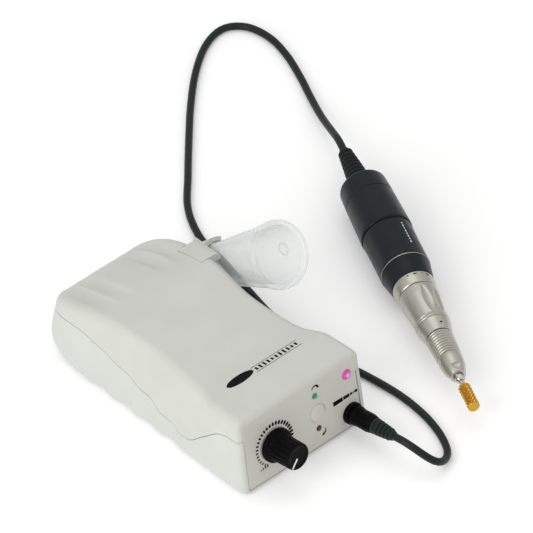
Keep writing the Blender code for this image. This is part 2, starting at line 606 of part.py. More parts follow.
def build_spindle():
    turned("motor_coupling", ((4.0, 71.6), (4.0, 64.0)), "brass_yellow",
           ((1.8, 64.0), (1.8, 67.0), (0.0, 67.0), (0.0, 71.6)), parent=HANDPIECE, steps=16)
    turned("spindle", ((3.1, 139.6), (3.1, 78.6), (4.0, 78.0), (4.0, 72.4)), "bright_steel",
           parent=HANDPIECE, steps=16)
    ring("rear_spindle_bearing", 5.3, 3.4, 88.0, 92.0, "bright_steel", HANDPIECE, 16)
    ring("front_spindle_bearing", 4.7, 3.4, 126.0, 130.0, "bright_steel", HANDPIECE, 16)
    turned("collet", ((2.1, 155.0), (2.5, 154.2), (2.5, 139.9)), "bright_steel",
           ((1.5, 139.9), (1.5, 155.0)), parent=HANDPIECE, steps=18)
    rod("burr_shank", 1.175, 141.0, 158.2, "bright_steel", HANDPIECE, sides=16)
    turned("burr_head", ((2.5, BURR_TIP), (3.17, BURR_TIP - 0.8), (3.17, 159.6), (2.4, 158.5)),
           "gold_burr", parent=HANDPIECE, steps=20)


# ---------------------------------------------------------------- lead

def smooth_path(points, step):
    """Evenly spaced points on a centripetal-like Catmull-Rom curve through the route."""
    ends = [points[0] * 2 - points[1], *points, points[-1] * 2 - points[-2]]
    fine = []
    for p0, p1, p2, p3 in zip(ends, ends[1:], ends[2:], ends[3:]):
        for i in range(24):
            t = i / 24
            fine.append(0.5 * (2 * p1 + (p2 - p0) * t + (2 * p0 - 5 * p1 + 4 * p2 - p3) * t * t
                               + (3 * p1 - p0 - 3 * p2 + p3) * t**3))
    fine.append(points[-1])
    length = sum((b - a).length for a, b in zip(fine, fine[1:]))
    count = round(length / step)
    spaced, walked, target = [fine[0]], 0.0, length / count
    for a, b in zip(fine, fine[1:]):
        leg = (b - a).length
        while walked + leg >= target * len(spaced) and len(spaced) < count:
            spaced.append(a.lerp(b, (target * len(spaced) - walked) / leg))
        walked += leg
    return [*spaced, fine[-1]]


def build_cord():
    bpy.context.view_layer.update()
    to_unit = UNIT.matrix_world.inverted()
    start = to_unit @ HANDPIECE.matrix_world
    socket = to_unit @ PANEL.matrix_world @ Matrix.Translation(Vector((*SOCKET_AT, 0)) * MM)
    from_boot = [start @ Vector((0, 0, -(BOOT_LENGTH + extra) * MM)) for extra in (0.5, 9.0)]
    to_plug = [socket @ Vector((0, 0, (PLUG_END + extra) * MM)) for extra in (9.0, 0.5)]
    route = from_boot + [Vector(p) * MM for p in CORD_ROUTE] + to_plug
    curve = bpy.data.curves.new("handpiece_cord", "CURVE")
    curve.dimensions = "3D"
    spline = curve.splines.new("POLY")
    path = smooth_path(route, CORD_STEP * MM)
    spline.points.add(len(path) - 1)
    for point, place in zip(spline.points, path):
        point.co = (*place, 1.0)
    curve.bevel_depth = CORD_R * MM
    curve.bevel_resolution = 2
    curve.use_fill_caps = True
    curve.materials.append(material("cord_black"))
    cord = bpy.data.objects.new("handpiece_cord", curve)
    cord.parent = UNIT
    PARTS.objects.link(cord)


build_housing()
build_inlet()
build_front_panel()
build_speed_control()
build_button_and_lamps()
build_socket_and_plug()
build_electronics()
build_cradle()
build_handpiece_covers()
build_motor()
build_spindle()
build_cord()
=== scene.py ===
"""Looks of the electric nail drill: a control unit with a clear cradle cup, a turned
micromotor handpiece and the lead between them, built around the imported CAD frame.

Tables are in millimetres in a named local frame; MM turns them into metres.
"""

import json
import math

import bmesh
import bpy
from mathutils import Euler, Matrix, Vector


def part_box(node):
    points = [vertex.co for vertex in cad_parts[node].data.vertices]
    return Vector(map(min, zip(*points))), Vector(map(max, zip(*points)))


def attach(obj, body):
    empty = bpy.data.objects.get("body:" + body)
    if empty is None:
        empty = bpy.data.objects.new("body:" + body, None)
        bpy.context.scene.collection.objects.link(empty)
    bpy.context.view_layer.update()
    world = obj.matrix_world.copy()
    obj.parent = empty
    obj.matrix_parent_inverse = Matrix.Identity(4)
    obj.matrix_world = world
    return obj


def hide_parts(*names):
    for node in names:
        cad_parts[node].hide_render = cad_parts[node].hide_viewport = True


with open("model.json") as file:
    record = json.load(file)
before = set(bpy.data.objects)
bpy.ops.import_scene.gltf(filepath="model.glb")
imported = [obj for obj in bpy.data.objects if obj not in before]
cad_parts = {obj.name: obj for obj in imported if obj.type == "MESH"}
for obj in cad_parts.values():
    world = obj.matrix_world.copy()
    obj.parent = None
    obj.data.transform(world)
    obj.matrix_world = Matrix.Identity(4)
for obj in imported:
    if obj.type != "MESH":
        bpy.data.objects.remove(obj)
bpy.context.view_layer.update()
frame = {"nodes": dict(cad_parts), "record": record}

MM = 0.001
GAP = 0.3
FLOOR_CLEARANCE = 1.2
UNIT_LENGTH = 156.0
HALF_WIDTH = 42.5
WALL = 2.2
RAKE = math.radians(9.0)
REAR_START = 98.0
REAR_MID = 20.0
REAR_PLAN_POWER, REAR_TOP_POWER, REAR_BASE_POWER = 5.0, 1.8, 3.0   # how square the rear is
TOP_HEIGHT = ((0, 43.0), (22, 42.4), (48, 39.4), (76, 40.2), (108, 42.2), (146, 41.6))
TOP_INSET = ((0, 0.2), (24, 0.2), (40, 4.2), (56, 6.2), (75, 7.2), (98, 5.2), (128, 2.4),
             (146, 2.0))
PARTING = ((-6, 31.6), (8, 31.2), (16, 29.3), (30, 19.5), (43, 9.8), (50, 9.4), (62, 12.5),
           (80, 17.5), (100, 22.5), (125, 27.0), (160, 21.0))
SCALLOP_PITCH, SCALLOP_DEPTH, SCALLOP_START, SCALLOP_END = 17.0, 1.45, 47.0, 116.0
KNOB_AT, BUTTON_AT, SOCKET_AT = (-19.2, 20.0), (10.7, 21.6), (32.0, 9.4)
FORWARD_LAMP_AT, REVERSE_LAMP_AT, POWER_LAMP_AT = (9.9, 32.5), (10.1, 12.5), (31.6, 33.3)
KNOB_SKIRT_R, KNOB_R, KNOB_HEIGHT, KNOB_FLUTES = 9.3, 7.4, 17.5, 18
KNOB_START = math.radians(-138.0)   # clockwise from up, where the pointer rests
BUTTON_R, LAMP_R, POWER_LAMP_R = 4.9, 1.5, 2.6
INLET_X, INLET_Z = -12.0, 12.0
SCREW_SPOTS = ((-33, 28), (33, 28), (-21, 118), (21, 118))
FOOT_SPOTS = ((-32, 42), (32, 42), (-29, 101), (29, 101))
CUP_MOUTH, CUP_FLOOR = (57.4, 80.1, 48.0), (52.8, 132.9, 8.5)
CUP_MOUTH_R, CUP_FLOOR_R, CUP_WALL = 17.7, 9.0, 2.0
NOTCH_LOW, NOTCH_HIGH = (28.7, 108.0, 36.2), (60.0, 126.0, 60.0)
TONGUE = ((29.8, 109.6, 29.0), (32.2, 124.2, 37.4))
TONGUE_SLOT = ((29.5, 109.3, 28.7), (32.5, 124.5, 38.0))
WEB = ((41.3, 123.0, 21.5), (43.3, 128.0, 36.8))
SADDLE_LOW, SADDLE_HIGH, SADDLE_START, SADDLE_SWEEP = 5, 15, 56, 86
INLET_FLOOR, INLET_FACE = 128.0, 148.4
TAIL, AIM, AXIS_HEIGHT = (150.4, 118.7), math.atan2(-0.907, -0.421), 14.05
BURR_TIP, BOOT_LENGTH, PLUG_END = 175.0, 29.0, 31.0
CORD_R = 2.0
CORD_ROUTE = (
    (171.0, 162.6, 11.0), (179.2, 179.6, 5.8), (187.6, 196.4, 2.9), (195.6, 213.0, 2.1),
    (202.4, 230.6, 2.1), (205.7, 247.4, 2.1), (202.8, 262.2, 2.1), (192.6, 269.6, 2.1),
    (177.1, 266.0, 2.1), (158.1, 253.4, 2.1), (138.2, 235.6, 2.1), (118.9, 216.0, 2.1),
    (99.9, 196.0, 2.1), (82.0, 176.4, 2.1), (71.4, 155.0, 2.1), (67.4, 132.0, 2.1),
    (62.4, 110.0, 2.1), (58.2, 88.0, 2.1), (57.0, 66.0, 2.1), (58.6, 43.0, 2.1),
    (62.5, 21.0, 2.1), (64.6, 1.0, 2.1), (63.6, -17.4, 2.1), (59.8, -33.0, 2.1),
    (53.6, -45.0, 2.6), (45.6, -50.6, 4.8), (38.2, -50.0, 9.6),
)

# ---------------------------------------------------------------- frames
_low, _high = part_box("lower_housing")
UNIT = Matrix.Translation(((_low.x + _high.x) / 2, _low.y, _low.z - FLOOR_CLEARANCE * MM))


def place(x, y, z=0.0, parent=None):
    return (UNIT if parent is None else parent) @ Matrix.Translation(Vector((x, y, z)) * MM)


PANEL = place(0, 0, FLOOR_CLEARANCE) @ Matrix.Rotation(math.pi / 2 - RAKE, 4, "X")
HAND = place(*TAIL, AXIS_HEIGHT) @ Euler((0, math.pi / 2, AIM)).to_matrix().to_4x4()
_axis = Vector(CUP_MOUTH) - Vector(CUP_FLOOR)
CUP_LENGTH = _axis.length
CUP = (place(*CUP_FLOOR[:2], CUP_FLOOR[2] + FLOOR_CLEARANCE)
       @ _axis.to_track_quat("Z", "Y").to_matrix().to_4x4())

# ---------------------------------------------------------------- camera
AIM_POINT = place(82.2, 117.5, FLOOR_CLEARANCE) @ Vector()
CAMERA_AZIMUTH, CAMERA_ELEVATION, CAMERA_DISTANCE = math.radians(-43), math.radians(42), 4.0
BACK = Vector((math.sin(CAMERA_AZIMUTH) * math.cos(CAMERA_ELEVATION),
               -math.cos(CAMERA_AZIMUTH) * math.cos(CAMERA_ELEVATION),
               math.sin(CAMERA_ELEVATION)))
lens = bpy.data.cameras.new("camera")
lens.sensor_width = 36.0
lens.lens = 529.4
camera = bpy.data.objects.new("camera", lens)
lens.clip_end = 50.0
camera.location = AIM_POINT + BACK * CAMERA_DISTANCE
camera.rotation_mode = "QUATERNION"
camera.rotation_quaternion = (-BACK).to_track_quat("-Z", "Y")
bpy.context.scene.collection.objects.link(camera)
bpy.context.scene.camera = camera
bpy.context.scene.view_settings.view_transform = "Standard"


# ---------------------------------------------------------------- materials

class Paint:
    """Small helper that grows a node tree around a Principled shader."""

    def __init__(self, name, colour, rough, metal=0.0, **uniform):
        self.made = bpy.data.materials.new(name)
        self.made.use_nodes = True
        self.tree = self.made.node_tree
        self.shader = self.tree.nodes["Principled BSDF"]
        self.colour, self.rough = colour, rough
        self.set("Base Color", (*colour, 1.0))
        self.set("Roughness", rough)
        self.set("Metallic", metal)
        for socket, value in uniform.items():
            self.set(socket.replace("_", " "), value)
        self.where = self.node("ShaderNodeTexCoord").outputs["Object"]
        self.bumped = None

    def set(self, socket, value):
        self.shader.inputs[socket].default_value = value

    def node(self, kind, **inputs):
        made = self.tree.nodes.new(kind)
        for name, value in inputs.items():
            made.inputs[name.replace("_", " ")].default_value = value
        return made

    def link(self, a, b):
        self.tree.links.new(a, b)

    def noise(self, per_metre, detail=3.0, stretch=None):
        made = self.node("ShaderNodeTexNoise", Scale=per_metre, Detail=detail, Roughness=0.55)
        source = self.where
        if stretch:
            mapping = self.node("ShaderNodeMapping", Scale=stretch)
            self.link(source, mapping.inputs["Vector"])
            source = mapping.outputs["Vector"]
        self.link(source, made.inputs["Vector"])
        return made.outputs["Fac"]

    def spread(self, fac, low, high, low_in=0.3, high_in=0.7):
        made = self.node("ShaderNodeMapRange", From_Min=low_in, From_Max=high_in, To_Min=low,
                         To_Max=high)
        self.link(fac, made.inputs["Value"])
        return made.outputs["Result"]

    def vary(self, per_metre, amount, detail=3.0):
        """Slow colour variation around the base colour."""
        mix = self.node("ShaderNodeMix")
        mix.data_type = "RGBA"
        mix.inputs[6].default_value = (*[c * (1 - amount) for c in self.colour], 1)
        mix.inputs[7].default_value = (*[min(1.0, c * (1 + amount)) for c in self.colour], 1)
        self.link(self.spread(self.noise(per_metre, detail), 0, 1), mix.inputs[0])
        self.link(mix.outputs[2], self.shader.inputs["Base Color"])
        return self

    def sheen(self, per_metre, amount, stretch=None):
        """Uneven gloss around the base roughness."""
        fac = self.noise(per_metre, 4.0, stretch)
        self.link(self.spread(fac, self.rough - amount, self.rough + amount),
                  self.shader.inputs["Roughness"])
        return self

    def bump(self, per_metre, height_mm, stretch=None, detail=2.0):
        """Fine relief in millimetres on top of any relief already there."""
        made = self.node("ShaderNodeBump", Distance=height_mm * MM, Strength=1.0)
        self.link(self.noise(per_metre, detail, stretch), made.inputs["Height"])
        if self.bumped:
            self.link(self.bumped, made.inputs["Normal"])
        self.bumped = made.outputs["Normal"]
        self.link(self.bumped, self.shader.inputs["Normal"])
        return self


def moulded(name, colour, rough, **uniform):
    """Injection-moulded plastic: spark-eroded skin, faint flow marks and uneven gloss."""
    return (Paint(name, colour, rough, **uniform).vary(45, 0.025).sheen(160, 0.05)
            .bump(2600, 0.012).bump(420, 0.006).made)


def turned_metal(name, colour, rough, lines=0.004):
    """Lathe-turned metal: fine rings round the local Z axis and a satin haze."""
    return (Paint(name, colour, rough, 1.0).vary(90, 0.05)
            .sheen(600, 0.07, (0.02, 0.02, 9.0))
            .bump(700, lines, (0.02, 0.02, 12.0), 3.0).made)


def rubber(name, colour, rough, grain=0.02, **uniform):
    return (Paint(name, colour, rough, **uniform).vary(60, 0.18).sheen(240, 0.06)
            .bump(3200, grain).made)


def clear(name):
    """Clear plastic: nearly invisible face on, greenish grey where it is seen edge on."""
    paint = Paint(name, (0.70, 0.745, 0.725), 0.08, IOR=1.49)
    edge = paint.node("ShaderNodeLayerWeight", Blend=0.5)
    paint.link(paint.spread(edge.outputs["Facing"], 0.10, 0.60, 0.2, 1.0),
               paint.shader.inputs["Alpha"])
    return paint.vary(40, 0.02).sheen(60, 0.03).bump(45, 0.002).made


def lamp(name, colour, centre, glow, radius):
    """A dyed lens with a painted highlight that makes it paler in the middle, with a little light
    of its own.
    """
    paint = Paint(name, colour, 0.2, Coat_Weight=0.15, Emission_Strength=glow)
    split = paint.node("ShaderNodeSeparateXYZ")
    paint.link(paint.where, split.inputs["Vector"])
    flat = paint.node("ShaderNodeCombineXYZ")
    paint.link(split.outputs["X"], flat.inputs["X"])
    paint.link(split.outputs["Y"], flat.inputs["Y"])
    length = paint.node("ShaderNodeVectorMath")
    length.operation = "LENGTH"
    paint.link(flat.outputs["Vector"], length.inputs[0])
    wobble = paint.node("ShaderNodeMath")
    wobble.operation = "MULTIPLY_ADD"
    wobble.inputs[1].default_value = radius * MM * 0.9
    paint.link(paint.noise(900, 2.0), wobble.inputs[0])
    paint.link(length.outputs["Value"], wobble.inputs[2])
    # painted highlight: the colour turns from the lens colour to the paler centre colour towards
    # the middle
    mix = paint.node("ShaderNodeMix")
    mix.data_type = "RGBA"
    mix.inputs[6].default_value = (*centre, 1)
    mix.inputs[7].default_value = (*colour, 1)
    paint.link(paint.spread(wobble.outputs[0], 0, 1, radius * MM * 0.45, radius * MM * 1.15),
               mix.inputs[0])
    paint.link(mix.outputs[2], paint.shader.inputs["Base Color"])
    paint.link(mix.outputs[2], paint.shader.inputs["Emission Color"])
    return paint.bump(1500, 0.01).made


PAINTS = {
    "upper_shell": moulded("upper_shell_plastic", (0.56, 0.565, 0.52), 0.46),
    "lower_shell": moulded("lower_shell_plastic", (0.565, 0.58, 0.54), 0.46),
    "panel_grey": moulded("panel_plastic", (0.57, 0.56, 0.51), 0.48),
    "black_plastic": moulded("black_plastic", (0.0012, 0.0012, 0.0014), 0.46,
                             Specular_IOR_Level=0.07),
    "button_white": moulded("button_plastic", (0.575, 0.565, 0.515), 0.42),
    "clear_cup": clear("clear_acrylic"),
    "black_rubber": rubber("black_rubber", (0.005, 0.008, 0.0075), 0.5,
                           Specular_IOR_Level=0.2),
    "lead_jacket": rubber("lead_jacket", (0.006, 0.012, 0.011), 0.4, 0.008,
                          Specular_IOR_Level=0.25),
    "barrel_black": (Paint("barrel_black", (0.006, 0.010, 0.013), 0.36,
                           Specular_IOR_Level=0.2).vary(120, 0.12)
                     .sheen(420, 0.07, (0.3, 0.3, 1.0)).bump(2400, 0.008).made),
    "satin_nickel": turned_metal("satin_nickel", (0.50, 0.485, 0.43), 0.33),
    "bright_steel": turned_metal("bright_steel", (0.62, 0.61, 0.58), 0.2, 0.002),
    "gold_burr": (Paint("gold_burr", (0.60, 0.33, 0.045), 0.3, 1.0).vary(1400, 0.22)
                  .sheen(1800, 0.12).bump(5200, 0.03).made),
    "shaft_alloy": turned_metal("shaft_alloy", (0.56, 0.56, 0.55), 0.38, 0.006),
    "steel_can": turned_metal("steel_can", (0.48, 0.47, 0.44), 0.42, 0.004),
    "magnet": rubber("sintered_magnet", (0.06, 0.06, 0.065), 0.6, 0.03),
    "copper": turned_metal("copper", (0.62, 0.24, 0.10), 0.32, 0.006),
    "brass": turned_metal("brass", (0.66, 0.48, 0.18), 0.28, 0.003),
    "board_green": (Paint("board_green", (0.012, 0.13, 0.055), 0.42).vary(700, 0.35)
                    .sheen(900, 0.1).bump(1500, 0.03).made),
    "battery_wrap": moulded("battery_wrap", (0.02, 0.10, 0.32), 0.3),
    # each lamp's second colour is the paler middle of its painted highlight
    "lamp_green": lamp("lamp_green", (0.003, 0.20, 0.075), (0.012, 0.38, 0.16), 0.05, LAMP_R),
    "lamp_red": lamp("lamp_red", (0.045, 0.004, 0.006), (0.09, 0.012, 0.014), 0.0, LAMP_R),
    "lamp_pink": lamp("lamp_pink", (0.60, 0.05, 0.34), (0.90, 0.42, 0.68), 0.1,
                      POWER_LAMP_R),
}
INK = (Paint("printing_ink", (0.002, 0.002, 0.0025), 0.5, Specular_IOR_Level=0.08)
       .vary(1500, 0.3).bump(3500, 0.004).made)
WHITE_INK = (Paint("white_paint", (0.80, 0.80, 0.77), 0.42).vary(1200, 0.06)
             .bump(3000, 0.006).made)
RED_INK = (Paint("red_paint", (0.42, 0.02, 0.02), 0.42).vary(1200, 0.1).bump(3000, 0.006).made)


# ---------------------------------------------------------------- building helpers

def piece(name, bm, where, paint, body="root", nodes=(), cutters=(), angle=32):
    """Turn a bmesh, in metres in its local frame, into a finished piece on a body."""
    bmesh.ops.recalc_face_normals(bm, faces=bm.faces)
    mesh = bpy.data.meshes.new(name)
    bm.to_mesh(mesh)
    bm.free()
    thing = bpy.data.objects.new(name, mesh)
    bpy.context.scene.collection.objects.link(thing)
    thing.matrix_world = where
    for index, (cutter_bm, cutter_place, operation) in enumerate(cutters):
        bmesh.ops.recalc_face_normals(cutter_bm, faces=cutter_bm.faces)
        cutter_mesh = bpy.data.meshes.new(f"{name}_cutter_{index}")
        cutter_bm.to_mesh(cutter_mesh)
        cutter_bm.free()
        cutter = bpy.data.objects.new(f"{name}_cutter_{index}", cutter_mesh)
        bpy.context.scene.collection.objects.link(cutter)
        cutter.matrix_world = cutter_place
        step = thing.modifiers.new("cut", "BOOLEAN")
        step.operation, step.object, step.solver = operation, cutter, "EXACT"
    if cutters:
        bpy.context.view_layer.update()
        seen = thing.evaluated_get(bpy.context.evaluated_depsgraph_get())
        thing.data = bpy.data.meshes.new_from_object(seen)
        for step in list(thing.modifiers):
            bpy.data.objects.remove(step.object, do_unlink=True)
            thing.modifiers.remove(step)
    mesh = thing.data
    mesh.materials.clear()
    mesh.materials.append(paint)
    mesh.shade_smooth()
    mesh.set_sharp_from_angle(angle=math.radians(angle))
    if nodes:
        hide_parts(*nodes)
    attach(thing, body)
    return thing


def soft(points, closed=True, steps=5):
    """Round the corners of an (r, h, fillet) outline; returns plain (r, h) points."""
    made = []
    count = len(points)
    for i, point in enumerate(points):
        here = Vector(point[:2])
        fillet = point[2] if len(point) > 2 else 0.0
        ends = not closed and i in (0, count - 1)
        if fillet <= 0 or ends:
            made.append(tuple(here))
            continue
        before = (Vector(points[i - 1][:2]) - here)
        after = (Vector(points[(i + 1) % count][:2]) - here)
        turn = before.angle(after, 0.0)
        if turn < 0.02 or turn > math.pi - 0.02:
            made.append(tuple(here))
            continue
        reach = min(fillet / math.tan(turn / 2), before.length * 0.48, after.length * 0.48)
        radius = reach * math.tan(turn / 2)
        first = here + before.normalized() * reach
        last = here + after.normalized() * reach
        centre = here + (before.normalized() + after.normalized()).normalized() * (
            radius / math.sin(turn / 2))
        a, b = first - centre, last - centre
        sweep = a.angle_signed(b)
        for k in range(steps + 1):
            angle = -sweep * k / steps
            made.append((centre.x + a.x * math.cos(angle) - a.y * math.sin(angle),
                         centre.y + a.x * math.sin(angle) + a.y * math.cos(angle)))
    return made


def revolve(outline, closed=True, segments=96, shape=None):
    """Revolve (r, h) points round Z. shape(r, h, angle) may change the radius."""
    bm = bmesh.new()
    rings = []
    for r, h in outline:
        if r < 1e-6:
            rings.append([bm.verts.new((0, 0, h * MM))])
            continue
        ring = []
        for k in range(segments):
            angle = math.tau * k / segments
            at = shape(r, h, angle) if shape else r
            ring.append(bm.verts.new((at * MM * math.cos(angle), at * MM * math.sin(angle),
                                      h * MM)))
        rings.append(ring)
    pairs = list(zip(rings, rings[1:])) + ([(rings[-1], rings[0])] if closed else [])
    for one, two in pairs:
        for k in range(segments):
            j = (k + 1) % segments
            if len(one) == 1 and len(two) == 1:
                break
            if len(one) == 1:
                bm.faces.new((one[0], two[k], two[j]))
            elif len(two) == 1:
                bm.faces.new((one[k], two[0], one[j]))
            else:
                bm.faces.new((one[k], two[k], two[j], one[j]))
    return bm


def slab(outline, low, high, edge=0.0):
    """A flat piece from a 2-D outline in millimetres, from low to high, edges eased."""
    bm = bmesh.new()
    middle = sum((Vector(p) for p in outline), Vector((0, 0))) / len(outline)
    levels = [(low, 0.0), (high - edge, 0.0), (high, edge)] if edge else [(low, 0), (high, 0)]
    loops = []
    for z, inward in levels:
        loop = []
        for p in outline:
            away = Vector(p) - middle
            at = middle + away * (1 - inward / max(away.length, 0.3))
            loop.append(bm.verts.new((at.x * MM, at.y * MM, z * MM)))
        loops.append(loop)
    count = len(outline)
    for one, two in zip(loops, loops[1:]):
        for i in range(count):
            j = (i + 1) % count
            bm.faces.new((one[i], one[j], two[j], two[i]))
    bm.faces.new(list(reversed(loops[0])))
    bm.faces.new(loops[-1])
    return bm


def oval(x, y, a, b, turn=0.0, count=24):
    c, s = math.cos(turn), math.sin(turn)
    return [(x + a * math.cos(t) * c - b * math.sin(t) * s,
             y + a * math.cos(t) * s + b * math.sin(t) * c)
            for t in (math.tau * k / count for k in range(count))]


def block(low, high):
    bm = bmesh.new()
    bmesh.ops.create_cube(bm, size=1.0)
    bmesh.ops.scale(bm, vec=[(b - a) * MM for a, b in zip(low, high)], verts=bm.verts)
    bmesh.ops.translate(bm, vec=[(a + b) / 2 * MM for a, b in zip(low, high)], verts=bm.verts)
    return bm


def hole(radius, low, high, segments=64):
    return revolve([(0, low), (radius, low), (radius, high), (0, high)], False, segments)


def merge(target, other):
    """Add the faces of one bmesh to another."""
    mesh = bpy.data.meshes.new("merge")
    other.to_mesh(mesh)
    other.free()
    target.from_mesh(mesh)
    bpy.data.meshes.remove(mesh)
    return target


def smooth_step(low, high, at):
    t = min(1.0, max(0.0, (at - low) / (high - low)))
    return t * t * (3 - 2 * t)


def curve_value(table, at):
    """Smooth height of a table of (position, value) knots."""
    if at <= table[0][0]:
        return table[0][1]
    if at >= table[-1][0]:
        return table[-1][1]
    index = max(i for i in range(len(table) - 1) if table[i][0] <= at)
    (x0, y0), (x1, y1) = table[index], table[index + 1]

    def slope(i):
        if i in (0, len(table) - 1):
            return 0.0
        left = (table[i][1] - table[i - 1][1]) / (table[i][0] - table[i - 1][0])
        right = (table[i + 1][1] - table[i][1]) / (table[i + 1][0] - table[i][0])
        return 0.0 if left * right <= 0 else 2 * left * right / (left + right)

    span = x1 - x0
    t = (at - x0) / span
    return ((2 * t**3 - 3 * t**2 + 1) * y0 + (t**3 - 2 * t**2 + t) * span * slope(index)
            + (3 * t**2 - 2 * t**3) * y1 + (t**3 - t**2) * span * slope(index + 1))


# ---------------------------------------------------------------- housing

RIDGES = (0.31, 0.63, 0.955)    # ridge lines on the rear top, as parts of its half width
SCOOP_DEPTH = 1.1
FRONT_ROUND, BASE_ROUND = 3.0, 1.2


def measures(y, inset_x, inset_z, rear_inset):
    """Widths and heights of the housing at a distance from the front."""
    base = HALF_WIDTH - 0.6 * max(0.0, 1 - y / 9.0)**2
    shoulder = min(base - 0.2, 40.5 + 0.9 * max(0.0, 1 - y / 30.0) - curve_value(TOP_INSET, y))
    top, bottom, width_scale, shrink = curve_value(TOP_HEIGHT, y), 0.0, 1.0, 1.0
    if y > REAR_START:
        u = min((y - REAR_START) / (UNIT_LENGTH - rear_inset - REAR_START), 0.99995)
        width_scale = (1 - u**REAR_PLAN_POWER) ** (1 / REAR_PLAN_POWER)
        shrink = (1 - u**REAR_TOP_POWER) ** (1 / REAR_TOP_POWER)
        top = REAR_MID + (top - REAR_MID) * shrink
        bottom = REAR_MID * (1 - (1 - u**REAR_BASE_POWER) ** (1 / REAR_BASE_POWER))
    return base, shoulder, top - inset_z * shrink, bottom + inset_z * shrink, width_scale


def side_x(y, part, base, shoulder, grips):
    push = 0.0
    if grips and SCALLOP_START < y < SCALLOP_END:
        wave = 0.5 * (1 - math.cos(math.tau * (y - SCALLOP_START) / SCALLOP_PITCH))
        push = SCALLOP_DEPTH * wave * (1 - smooth_step(0.3, 0.85, part))
    return base + (shoulder - base) * part**1.6 - push


def half_outline(y, inset_x=0.0, inset_z=0.0, upper=True, outer=True, rear_inset=0.0):
    """Right half of one shell's outline: upper runs from the parting line to the top's
    centre line, lower from the parting line to the underside's centre line."""
    base, shoulder, top, bottom, width_scale = measures(y, inset_x, inset_z, rear_inset)
    rise = top - bottom
    corner = min(max(4.5 - inset_z, 1.0), 0.3 * rise)
    foot = 0.6 * corner
    span = rise - corner
    seam = min(max(curve_value(PARTING, y), bottom + 0.24 * rise), bottom + 0.82 * rise)
    ease = 0.2 if outer else 0.0
    points = []
    if upper:
        start = seam + GAP * min(1.0, rise / 20.0)
        start = min(start, top - corner * 1.05)
        heights = [start] + [start + 0.2 + (top - corner - start - 0.2) * k / 16
                             for k in range(17)]
        for k, z in enumerate(heights):
            part = (z - bottom) / span
            points.append((side_x(y, part, base, shoulder, outer) - (ease if k == 0 else 0), z))
        points += [(shoulder - corner * (1 - math.cos(t)), top - corner * (1 - math.sin(t)))
                   for t in (math.pi / 2 * k / 8 for k in range(1, 9))]
        reach = smooth_step(111.0, 129.0, y) if outer else 0.0
        shares = [1 - 0.045 * k / 2 for k in (1, 2)]
        shares += [0.955 - 0.645 * k / 24 for k in range(1, 25)]
        shares += [0.31 - 0.31 * k / 5 for k in range(1, 6)]
        for share in shares:
            dip = 0.0
            for a, b in zip(RIDGES, RIDGES[1:]):
                if a < share < b:
                    t = (share - a) / (b - a)
                    dip = SCOOP_DEPTH * math.sin(math.pi * t**0.75) ** 0.85
            fade = min(1.0, (rise / 30.0) ** 2)
            points.append((share * (shoulder - corner), top - dip * reach * fade))
    else:
        start = max(seam, bottom + foot * 1.05)
        heights = [start] + [start - 0.2 - (start - 0.2 - bottom - foot) * k / 12
                             for k in range(13)]
        for k, z in enumerate(heights):
            part = max(0.0, (z - bottom) / span)
            points.append((side_x(y, part, base, shoulder, outer) - (ease if k == 0 else 0), z))
        low_x = points[-1][0]
        points += [(low_x - foot * (1 - math.cos(t)), bottom + foot * (1 - math.sin(t)))
                   for t in (math.pi / 2 * k / 6 for k in range(1, 7))]
        points += [((low_x - foot) * (1 - k / 8), bottom) for k in range(1, 9)]
    return [(max(0.0, x - inset_x) * width_scale if k < len(points) - 1 else 0.0, z)
            for k, (x, z) in enumerate(points)]


def station_list():
    """Distances from the front, from the rear end forwards."""
    rear = [REAR_START + (UNIT_LENGTH - REAR_START) * (1 - (1 - k / 48) ** 2)
            for k in range(48, 0, -1)]
    middle = [SCALLOP_START + 1.7 * k for k in range(40, -1, -1)]
    front = [44.0, 41.0, 38.0, 35.0, 32.0, 29.0, 26.0, 23.5, 21.0, 18.5, 16.0, 13.5, 11.0, 9.0,
             7.0, 5.0]
    return rear + [y for y in middle if y < REAR_START] + front


def shell(upper):
    """One housing shell: its outer skin, a rounded front lip and its inner skin."""
    stations = station_list()
    rounds = [math.pi / 2 * k / 7 for k in range(8)]
    rim_z = FRONT_ROUND if upper else BASE_ROUND
    lip_x = FRONT_ROUND + 0.28
    lip_z = FRONT_ROUND + 0.28 if upper else BASE_ROUND + 0.2
    rows = [(y, 0.0, 0.0, True) for y in stations]
    rows += [(FRONT_ROUND * (1 - math.sin(t)), FRONT_ROUND * (1 - math.cos(t)),
              rim_z * (1 - math.cos(t)), True) for t in rounds]
    inner_front = [(0.0, lip_x, lip_z)] + [(0.4 * k, lip_x, lip_z) for k in range(1, 7)]
    inner_front.append((3.6, WALL + 0.2, WALL))
    rows += [(*row, False) for row in inner_front]
    rows += [(y, WALL, WALL, False) for y in reversed(stations)]
    bm = bmesh.new()
    loops = []
    for y, inset_x, inset_z, outer in rows:
        rear_inset = 0.0
        at = y
        if not outer and y > REAR_START:
            rear_inset = WALL
            at = REAR_START + (y - REAR_START) * (1 - WALL / (UNIT_LENGTH - REAR_START))
        half = half_outline(at, inset_x, inset_z, upper, outer, rear_inset)
        full = half + [(-x, z) for x, z in reversed(half[:-1])]
        lean = math.tan(RAKE) * max(0.0, 1 - at / 40.0)
        loops.append([bm.verts.new((x * MM, (at + lean * z) * MM, (z + FLOOR_CLEARANCE) * MM))
                      for x, z in full])
    count, width = len(loops), len(loops[0])
    for i in range(count):
        one, two = loops[i], loops[(i + 1) % count]
        for j in range(width - 1):
            bm.faces.new((one[j], one[j + 1], two[j + 1], two[j]))
    for i in range(count // 2 - 1):
        a, b = loops[i], loops[i + 1]
        c, d = loops[count - 1 - i], loops[count - 2 - i]
        for j in (0, -1):
            bm.faces.new((a[j], b[j], d[j], c[j]))
    return bm


